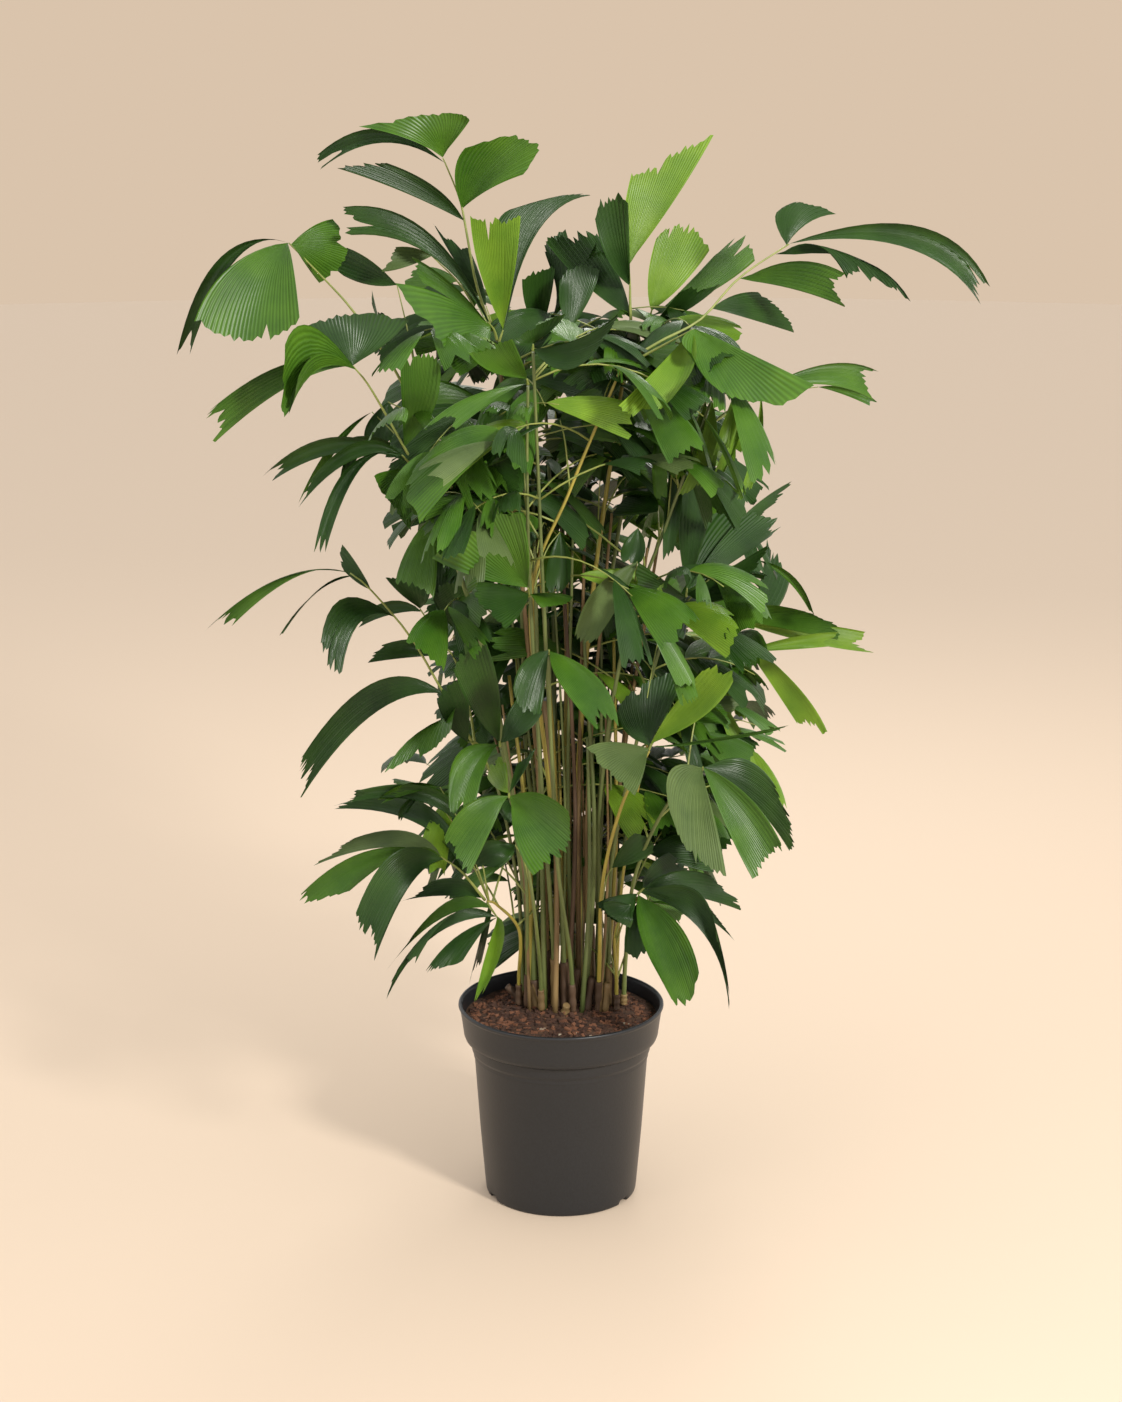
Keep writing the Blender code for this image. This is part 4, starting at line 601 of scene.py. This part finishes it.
# single leaflets on their own thin stalks: (depth, green as in TONES, blade as in FRONDS)
SINGLES = [
    (-.06, 0, (372, 412, 298, 504, 300, 508, 304, 503, 0, -14, 4, -.03)),
    (-.08, 1, (405, 452, 330, 449, 330, 453, 332, 457, 0, -10, 5, -.02)),
    (-.07, 1, (365, 440, 340, 478, 342, 482, 346, 479, 0, -6, 4, -.02)),
    (.05, 1, (397, 285, 345, 247, 326, 258, 342, 275, 0, 0, 5, .03)),
    (.02, 3, (432, 256, 395, 247, 386, 258, 381, 272, 0, 0, 4, -.02)),
    (.08, 1, (486, 306, 433, 223, 446, 234, 468, 246, 2, 4, 4, .04)),
    (-.05, 1, (388, 402, 364, 436, 376, 450, 396, 436, 0, 0, 6, -.03)),
    (.00, 0, (818, 387, 874, 399, 878, 404, 872, 407, 0, -4, 2, .02)),
    (-.13, 2, (745, 403, 714, 473, 720, 478, 725, 470, 2, 0, 3, -.02)),
    (-.10, 2, (706, 401, 676, 480, 686, 476, 700, 456, 0, 0, 4, -.02)),
    (-.10, 0, (662, 413, 655, 500, 661, 506, 667, 499, -2, 0, 4, -.02)),
    (-.08, 1, (676, 440, 663, 560, 666, 567, 672, 556, 2, 0, 7, -.02)),
    (-.12, 1, (622, 366, 562, 382, 584, 395, 605, 405, 0, -3, 7, -.03)),
    (-.10, 1, (452, 438, 512, 458, 526, 480, 520, 500, 0, 2, 9, -.04)),
    (-.16, 3, (637, 562, 574, 640, 580, 651, 593, 645, -2, -8, 10, -.04)),
    (-.12, 1, (638, 528, 621, 560, 628, 569, 641, 562, 0, 0, 6, -.02)),
    (-.10, 1, (560, 532, 546, 586, 558, 598, 570, 580, 0, 0, 5, -.02)),
    (.06, 0, (757, 560, 813, 612, 815, 618, 811, 614, 6, -8, 3, .02)),
    (.06, 2, (742, 652, 840, 632, 837, 640, 835, 646, 0, -2, 3, .02)),
    (-.12, 0, (700, 702, 729, 723, 733, 728, 729, 731, 0, -3, 3, -.02)),
    (-.14, 1, (515, 845, 472, 850, 470, 866, 500, 868, 0, -4, 6, -.04)),
    (-.16, 1, (511, 800, 498, 808, 505, 822, 518, 826, 0, 0, 4, -.03)),
    (-.10, 1, (630, 905, 603, 903, 610, 918, 630, 928, 0, 0, 4, -.02)),
    (-.08, 1, (612, 868, 635, 833, 650, 838, 655, 851, 0, 0, 4, -.02)),
    (-.06, 1, (640, 898, 625, 952, 638, 960, 650, 945, 0, 0, 6, -.04)),
    (-.05, 1, (475, 845, 333, 806, 340, 800, 352, 792, 20, -26, 4, -.02)),
    (-.05, 0, (440, 787, 378, 799, 377, 801, 380, 804, 0, -6, 4, -.02)),
    (-.04, 1, (430, 790, 398, 818, 400, 822, 406, 816, -4, -4, 4, -.02)),
    (-.06, 1, (468, 742, 437, 702, 440, 684, 462, 676, 0, 0, 6, -.03)),
    (-.03, 1, (470, 640, 432, 596, 440, 580, 462, 586, 0, 0, 6, -.03)),
    (.02, 1, (640, 470, 600, 440, 604, 420, 628, 414, 0, 0, 6, -.03)),
    (.02, 1, (600, 480, 566, 440, 572, 420, 596, 424, 0, 0, 6, -.03)),
    (.04, 1, (500, 470, 456, 470, 452, 490, 470, 506, 0, 0, 6, -.03)),
    (.03, 0, (480, 400, 430, 380, 420, 396, 432, 416, 0, 0, 6, -.03)),
    (.05, 1, (570, 330, 560, 280, 578, 262, 600, 270, 0, 0, 5, .03)),
    (-.14, 1, (560, 420, 590, 388, 606, 392, 612, 410, 0, 0, 6, -.03)),
    (-.16, 1, (520, 440, 486, 430, 474, 446, 484, 464, 0, 0, 6, -.03)),
    (-.10, 1, (500, 500, 470, 452, 482, 440, 506, 446, 0, 0, 6, -.03)),
]


def stalk_line(name):
    x, y, r0, r1, readings = STALKS[name]
    foot = Vector((x, y, POT_H - 0.01))
    first = seen(*readings[0])
    rise = Vector(((first.x - foot.x) * 0.2, (first.y - foot.y) * 0.2, (first.z - foot.z) * 0.36))
    return [foot, foot + rise] + [seen(*r) for r in readings]


def inner_fronds(leaves, uv_layer, ribs, rng, count):
    """Fronds that fill the clump: each leaves a cane, rises, arches over and carries its leaflets in two rows."""
    names = list(STALKS)
    low, high = BOUNDS
    made = 0
    for number in range(count * 9):
        if made >= count:
            break
        line = stalk_line(names[number % len(names)])
        t0 = rng.uniform(0.30, 0.97)
        start = through(line, t0)
        way = number * 2.39996 + rng.uniform(-0.4, 0.4)
        out = Vector((math.cos(way), math.sin(way), 0))
        length = rng.uniform(0.16, 0.34)
        rise = rng.uniform(0.25, 0.95)
        bend = rng.uniform(0.35, 0.75)
        rib = []
        for k in range(9):
            t = k / 8
            rib.append(start + out * (length * t) + Vector((0, 0, length * (rise * t - bend * t * t))))
        crossing = False
        for q in rib[2:]:
            a, b = reading(q)
            crossing = crossing or (q.y < 0.0 and 510 < a < 635 and 600 < b < 985)
        if crossing:
            continue
        u, v = reading(rib[-1])
        if not within(u, v, -14) or rib[-1].y > high.y - 0.10 or rib[-1].y < low.y + 0.08:
            continue
        plan = []
        pairs = rng.choice((5, 6, 7, 8))
        for k in range(pairs):
            t = 0.30 + 0.70 * k / (pairs - 1)
            foot = through(rib, t)
            ahead = (through(rib, min(t + .05, 1)) - through(rib, max(t - .05, 0))).normalized()
            flat = ahead.cross(Vector((0, 0, 1))).normalized()
            hand = (1 if k % 2 else -1) if k < pairs - 1 else 0
            turn = rng.uniform(0.6, 1.1) if hand else 0.0
            go = (ahead * math.cos(turn) + flat * (hand * math.sin(turn)) + Vector((0, 0, rng.uniform(-0.25, 0.25)))).normalized()
            size = rng.uniform(0.090, 0.160)
            wide = size * rng.choice((rng.uniform(0.30, 0.45), rng.uniform(0.50, 0.85)))
            across = go.cross(Vector((rng.uniform(-.8, .8), rng.uniform(-1.3, .2), 1))).normalized()
            droop = rng.uniform(0.10, 0.55)
            tip = foot + go * size + Vector((0, 0, -droop * size))
            tu, tv = reading(tip)
            if not within(tu, tv, 4):
                continue
            if tip.y < 0.07 and 500 < tu < 645 and 575 < tv < 985:
                continue
            if tip.y < -0.04 and 520 < tu < 650 and 400 < tv < 600:
                continue
            if not (low.x + 0.02 < tip.x < high.x - 0.02 and low.y + 0.02 < tip.y < high.y - 0.02 and tip.z < high.z - 0.02):
                continue
            plan.append((foot, go, across, size, wide, droop, tip))
        if len(plan) < 2:
            continue
        made += 1
        add_tube(ribs, rib, lambda t: 0.0019 * (1 - 0.6 * t), 5, 0)
        for foot, go, across, size, wide, droop, tip in plan:
            # painted light and shade: leaflets high in the crown or at its front mostly get the mid and bright greens,
            # lower and back ones mostly the dark green
            light = tip.z > 1.25 or tip.y < -0.05
            slot = rng.choices(range(4), weights=(7, 4, 1.3, 0.6) if light else (4.5, 8, 0.4, 0.3))[0]
            free_leaflet(leaves, uv_layer, foot, go, across, size, wide, droop, rng, slot)


def own_canes(bm, rng):
    """The fronds' own canes: green above, with swollen nodes and a dry tan or brown sheath round the lower part."""
    for number, name in enumerate(STALKS):
        line = stalk_line(name)
        r0, r1 = STALKS[name][2] * 0.80, STALKS[name][3] * 0.72
        kind = 2 if name == "stalk_yellow" else rng.choices((0, 1, 2), weights=(6, 1.2, 1.5))[0]
        bare = 60
        points = [through(line, k / bare) for k in range(bare + 1)]
        phase = rng.random()
        add_tube(bm, points, lambda t: (r0 + (r1 - r0) * t ** 0.7) * (1 + 0.10 * max(0.0, math.cos(2 * math.pi * (5 * t + phase))) ** 24), 9, kind)
        tall = rng.uniform(0.05, 0.19)
        sleeve = [through(line, tall * k / 12) for k in range(13)]
        add_tube(bm, sleeve, lambda t: (r0 * 1.28 + 0.0006) * (1 - 0.10 * t) + 0.0005 * math.sin(14 * t + number), 10, 3 if number % 3 else 1)


def more_canes(bm, rng, count):
    """Thinner canes between the fronds' own, in green, tan, yellow and brown."""
    for k in range(count):
        t = (k + 0.5) / count
        a = k * 2.39996
        r = 0.085 * math.sqrt(t)
        x, y = 0.018 + r * 1.05 * math.cos(a), 0.024 + r * 0.62 * math.sin(a)
        top = Vector((x * rng.uniform(1.2, 2.0) - 0.012, y * rng.uniform(1.1, 2.4) + 0.02, rng.uniform(0.78, 1.22)))
        foot = Vector((x, y, POT_H - 0.016))
        knee = Vector((x * 1.10, y * 1.10, 0.33 + (top.z - 0.33) * 0.45))
        sway = Vector((rng.uniform(-.012, .012), rng.uniform(-.012, .012), 0))
        points = [through([foot, knee + sway, top], n / 14) for n in range(15)]
        wide = rng.uniform(0.0026, 0.0052)
        kind = rng.choices(range(4), weights=(6, 3, 2.2, 1.6))[0]
        add_tube(bm, points, lambda s, wide=wide: wide * (1 - 0.45 * s), 7, kind)


def fine_pot(material):
    """The pot with a rounder wall: its section turned in fine steps, drain notches lifted out of the foot."""
    rim, z, base = RIM_R, POT_H, 0.1245
    top, low, ring, wall = rim * 0.984, rim * 0.955, rim * 0.872, rim * 0.856
    section = [
        (rim - 0.0060, z - 0.0016), (rim - 0.0046, z - 0.0003), (rim - 0.0030, z), (rim - 0.0012, z - 0.0005), (rim - 0.0002, z - 0.0020),
        (rim - 0.0001, z - 0.0042), (rim - 0.0010, z - 0.0060), (rim * 0.987, z - 0.0072), (top, z - 0.0090),
        (low + 0.0016, z - 0.0300), (low, z - 0.0430), (low - 0.0012, z - 0.0520), (low - 0.0032, z - 0.0575),
        (ring + 0.0060, z - 0.0608), (ring + 0.0022, z - 0.0622), (ring, z - 0.0640), (ring, z - 0.0780), (ring - 0.0004, z - 0.0795),
        (wall, z - 0.0830), (wall - 0.0016, z - 0.0900), (base + 0.0104, 0.110), (base + 0.0024, 0.0150), (base + 0.0020, 0.0110), (base + 0.0012, 0.0045), (base + 0.0004, 0.0020),
        (base - 0.0010, 0.0006), (base - 0.0030, 0.0001), (base - 0.0220, 0.0001), (base - 0.0260, 0.0030), (0.0005, 0.0030),
    ]
    inside = [(rim - 0.0060, z - 0.0016), (rim - 0.0072, z - 0.0060), (low - 0.0030, z - 0.0300), (low - 0.0042, z - 0.0500), (ring - 0.0026, z - 0.0640), (ring - 0.0030, z - 0.0900)]
    steps = 180
    bm = bmesh.new()

    def turned(points, flip):
        rows = []
        for r, h in points:
            row = []
            for k in range(steps):
                a = 2 * math.pi * k / steps
                lift = 0.0
                for notch in (-64.0, 56.0, 176.0):
                    off = abs((math.degrees(a) - notch + 180) % 360 - 180)
                    if h < 0.0075 and base - 0.0235 < r < base + 0.004 and off < 4.6:
                        lift = max(lift, 0.0085 - h)
                row.append(bm.verts.new((r * math.sin(a), -r * math.cos(a), h + lift)))
            rows.append(row)
        for one, two in zip(rows, rows[1:]):
            for k in range(steps):
                n = (k + 1) % steps
                quad = (one[k], one[n], two[n], two[k])
                face = bm.faces.new(quad if flip else tuple(reversed(quad)))
                face.smooth = True

    turned(section, True)
    turned(inside, False)
    bmesh.ops.remove_doubles(bm, verts=bm.verts[:], dist=1e-6)
    bmesh.ops.recalc_face_normals(bm, faces=bm.faces[:])
    piece = finish_mesh("nursery_pot", bm, [material])
    piece.data.set_sharp_from_angle(angle=math.radians(42))
    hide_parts("pot")


def foot_sheaths(bm, rng, count):
    """Dry sheaths round the canes' feet, and cut stumps among them."""
    for k in range(count):
        a, r = k * 2.39996, 0.078 * math.sqrt((k + 0.5) / count)
        x, y = 0.016 + r * 1.05 * math.cos(a), 0.020 + r * 0.6 * math.sin(a)
        tall, wide = rng.uniform(0.018, 0.070), rng.uniform(0.0045, 0.0085)
        lean = Vector((x * rng.uniform(0, .5), y * rng.uniform(0, .5), 0))
        foot = Vector((x, y, POT_H - 0.014))
        points = [foot + lean * (n / 6) + Vector((0, 0, tall * n / 6)) for n in range(7)]
        add_tube(bm, points, lambda t, wide=wide: wide * (1 - 0.35 * t + 0.10 * math.sin(9 * t)), 9, 3 if k % 3 else 1)


def back_rows(readings, pairs, size):
    rows = []
    for k in range(pairs):
        t = 0.12 + 0.88 * k / (pairs - 1)
        i = min(int(t * (len(readings) - 1)), len(readings) - 2)
        s = t * (len(readings) - 1) - i
        u = readings[i][0] * (1 - s) + readings[i + 1][0] * s
        v = readings[i][1] * (1 - s) + readings[i + 1][1] * s
        out = 1 if k % 2 else -1
        reach = size * 560 * (1.0 - 0.35 * abs(t - 0.55))
        turn = math.radians(62 - 48 * t + 9 * math.sin(2.4 * k))
        tip = (u + out * reach * math.sin(turn), v - reach * 0.55 * math.cos(turn) + 16)
        wide = reach * 0.26
        cu, cv = math.cos(turn) * wide * out, math.sin(turn) * wide * 0.7
        rows.append((u, v, tip[0] - cu, tip[1] - cv, tip[0] + out * 5, tip[1], tip[0] + cu, tip[1] + cv, 0, -8, 5, 0.05 + 0.05 * math.sin(1.9 * k)))
    return rows


def finish_mesh(name, bm, materials):
    mesh = bpy.data.meshes.new(name)
    bm.to_mesh(mesh)
    bm.free()
    obj = bpy.data.objects.new(name, mesh)
    for made in materials:
        obj.data.materials.append(made)
    scene.collection.objects.link(obj)
    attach(obj, "root")
    return obj


def main():
    set_camera()
    set_world()
    plain_floor()
    area("key", (2.3, -3.1, 2.9), (0, 0, 1.15), 0.7, 150, (1.0, 0.97, 0.92))
    area("fill", (-3.0, -2.4, 2.2), (0, 0, 0.9), 2.0, 14, (1.0, 0.97, 0.93))
    area("rim", (0.6, 2.8, 3.2), (0, 0, 1.2), 1.2, 40, (1.0, 0.97, 0.92))

    # the dark, bright and greyish greens are copies of the leaf green with painted shade, painted light and a painted
    # sheen; the brown is the leaves' own colour
    greens = [
        leaf_material("leaf_mid", (0.072, 0.172, 0.012, 1), (0.036, 0.106, 0.008, 1), 0.36),
        leaf_material("leaf_dark_painted_shade", (0.030, 0.082, 0.010, 1), (0.014, 0.046, 0.006, 1), 0.34),
        leaf_material("leaf_bright_painted_light", (0.185, 0.320, 0.022, 1), (0.105, 0.220, 0.014, 1), 0.38),
        leaf_material("leaf_grey_painted_sheen", (0.110, 0.165, 0.046, 1), (0.068, 0.112, 0.030, 1), 0.44),
        leaf_material("leaf_brown", (0.180, 0.105, 0.040, 1), (0.110, 0.060, 0.022, 1), 0.55),
    ]
    rib_green = plain_material("rib_green", (0.300, 0.330, 0.080, 1), (0.190, 0.240, 0.050, 1), 0.42, 60, 0.0004)
    stalk_kinds = [
        plain_material("stalk_green", (0.170, 0.210, 0.060, 1), (0.090, 0.120, 0.035, 1), 0.45, 30, 0.0005, (1, 1, 0.15)),
        plain_material("stalk_tan", (0.300, 0.200, 0.080, 1), (0.140, 0.085, 0.035, 1), 0.6, 46, 0.0008, (1, 1, 0.12)),
        plain_material("stalk_yellow", (0.420, 0.340, 0.060, 1), (0.280, 0.240, 0.045, 1), 0.42, 30, 0.0004, (1, 1, 0.15)),
    ]
    rng = random.Random(41)
    for number, (name, entry) in enumerate(list(FRONDS.items()) + list(BACK_FRONDS.items())):
        readings = entry[1]
        rows = entry[2] if name in FRONDS else back_rows(entry[1], entry[2], entry[3])
        rib = [seen(*r) for r in readings]
        bm = bmesh.new()
        uv_layer = bm.loops.layers.uv.new("UVMap")
        length = sum((b - a).length for a, b in zip(rib, rib[1:]))
        points = [through(rib, k / 14) for k in range(15)]
        add_tube(bm, points, lambda t: 0.0026 * (1 - 0.55 * t), 7, 5)
        for place_in_frond, row in enumerate(rows):
            foot_t = min((k / 100 for k in range(101)), key=lambda t: (
                through(rib, t) - seen(row[0], row[1], through(rib, t).y)).length)
            foot = through(rib, foot_t)
            slot = TONES[name][place_in_frond] if name in TONES else 1
            leaflet(bm, uv_layer, foot, foot.y, row, rng, slot)
        piece = finish_mesh(name.replace("frond", "leaves"), bm, greens + [rib_green])
        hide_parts(name)
    canes = bmesh.new()
    own_canes(canes, rng)
    more_canes(canes, rng, 34)
    foot_sheaths(canes, rng, 20)
    stalk_brown = plain_material("stalk_brown", (0.130, 0.075, 0.040, 1), (0.055, 0.030, 0.016, 1), 0.65, 60, 0.0008, (1, 1, 0.12))
    piece = finish_mesh("palm_canes", canes, stalk_kinds + [stalk_brown])
    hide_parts(*STALKS)
    inner, ribs = bmesh.new(), bmesh.new()
    uv_layer = inner.loops.layers.uv.new("UVMap")
    inner_fronds(inner, uv_layer, ribs, rng, 150)
    for deep, slot, row in SINGLES:
        foot = seen(row[0], row[1], deep)
        leaflet(inner, uv_layer, foot, deep, row, rng, slot)
        name = min(STALKS, key=lambda n: min((through(stalk_line(n), k / 20) - foot - Vector((0, 0, -0.10))).length for k in range(8, 20)))
        near = min((through(stalk_line(name), k / 20) for k in range(8, 20)), key=lambda q: (q - foot - Vector((0, 0, -0.10))).length)
        mid = (foot + near) / 2 + Vector((0, 0, 0.02))
        add_tube(ribs, [through([near, mid, foot], k / 8) for k in range(9)], lambda t: 0.0018 * (1 - 0.5 * t), 5, 0)
    piece = finish_mesh("inner_leaves", inner, greens)
    piece = finish_mesh("inner_ribs", ribs, [rib_green])
    soil = bpy.data.objects.get("soil")
    pot_grey = plain_material("pot_grey", (0.0135, 0.0155, 0.0185, 1), (0.0110, 0.0125, 0.0150, 1), 0.40, 240, 0.0003)
    mix = plain_material("potting_mix", (0.115, 0.058, 0.032, 1), (0.030, 0.015, 0.009, 1), 0.95, 90, 0.004)
    fine_pot(pot_grey)
    if soil is not None:
        soil.data.materials.clear()
        soil.data.materials.append(mix)
    chips = bmesh.new()
    for k in range(1500):
        a, r = rng.uniform(0, 2 * math.pi), 0.150 * math.sqrt(rng.random())
        x, y = r * math.cos(a), r * math.sin(a)
        rise = 0.020 * max(0.0, 1 - (math.hypot((x - 0.012) / 1.25, y - 0.026) / 0.115) ** 2) ** 1.4
        z = POT_H - 0.026 + rise
        size = rng.uniform(0.0018, 0.0066)
        turn = rng.uniform(0, math.pi)
        tilt = rng.uniform(-0.5, 0.5)
        shape = bmesh.ops.create_cube(chips, size=1.0)["verts"]
        kind = rng.choices((0, 1, 2), weights=(6, 3, 0.12))[0]
        for vert in shape:
            q = vert.co
            px, py, pz = q.x * size * 2.2, q.y * size * 1.1, q.z * size * 0.7
            px, pz = px * math.cos(tilt) - pz * math.sin(tilt), px * math.sin(tilt) + pz * math.cos(tilt)
            vert.co = (x + px * math.cos(turn) - py * math.sin(turn), y + px * math.sin(turn) + py * math.cos(turn), z + pz + 0.0006)
        for face in {f for vert in shape for f in vert.link_faces}:
            face.material_index = kind
    piece = finish_mesh("bark_chips", chips, [
        plain_material("chip_dark", (0.100, 0.045, 0.026, 1), (0.034, 0.016, 0.010, 1), 0.9, 120, 0.0008),
        plain_material("chip_red", (0.260, 0.110, 0.055, 1), (0.130, 0.052, 0.026, 1), 0.85, 120, 0.0008),
        plain_material("chip_pale", (0.480, 0.400, 0.300, 1), (0.300, 0.230, 0.160, 1), 0.8, 120, 0.0008),
    ])


main()
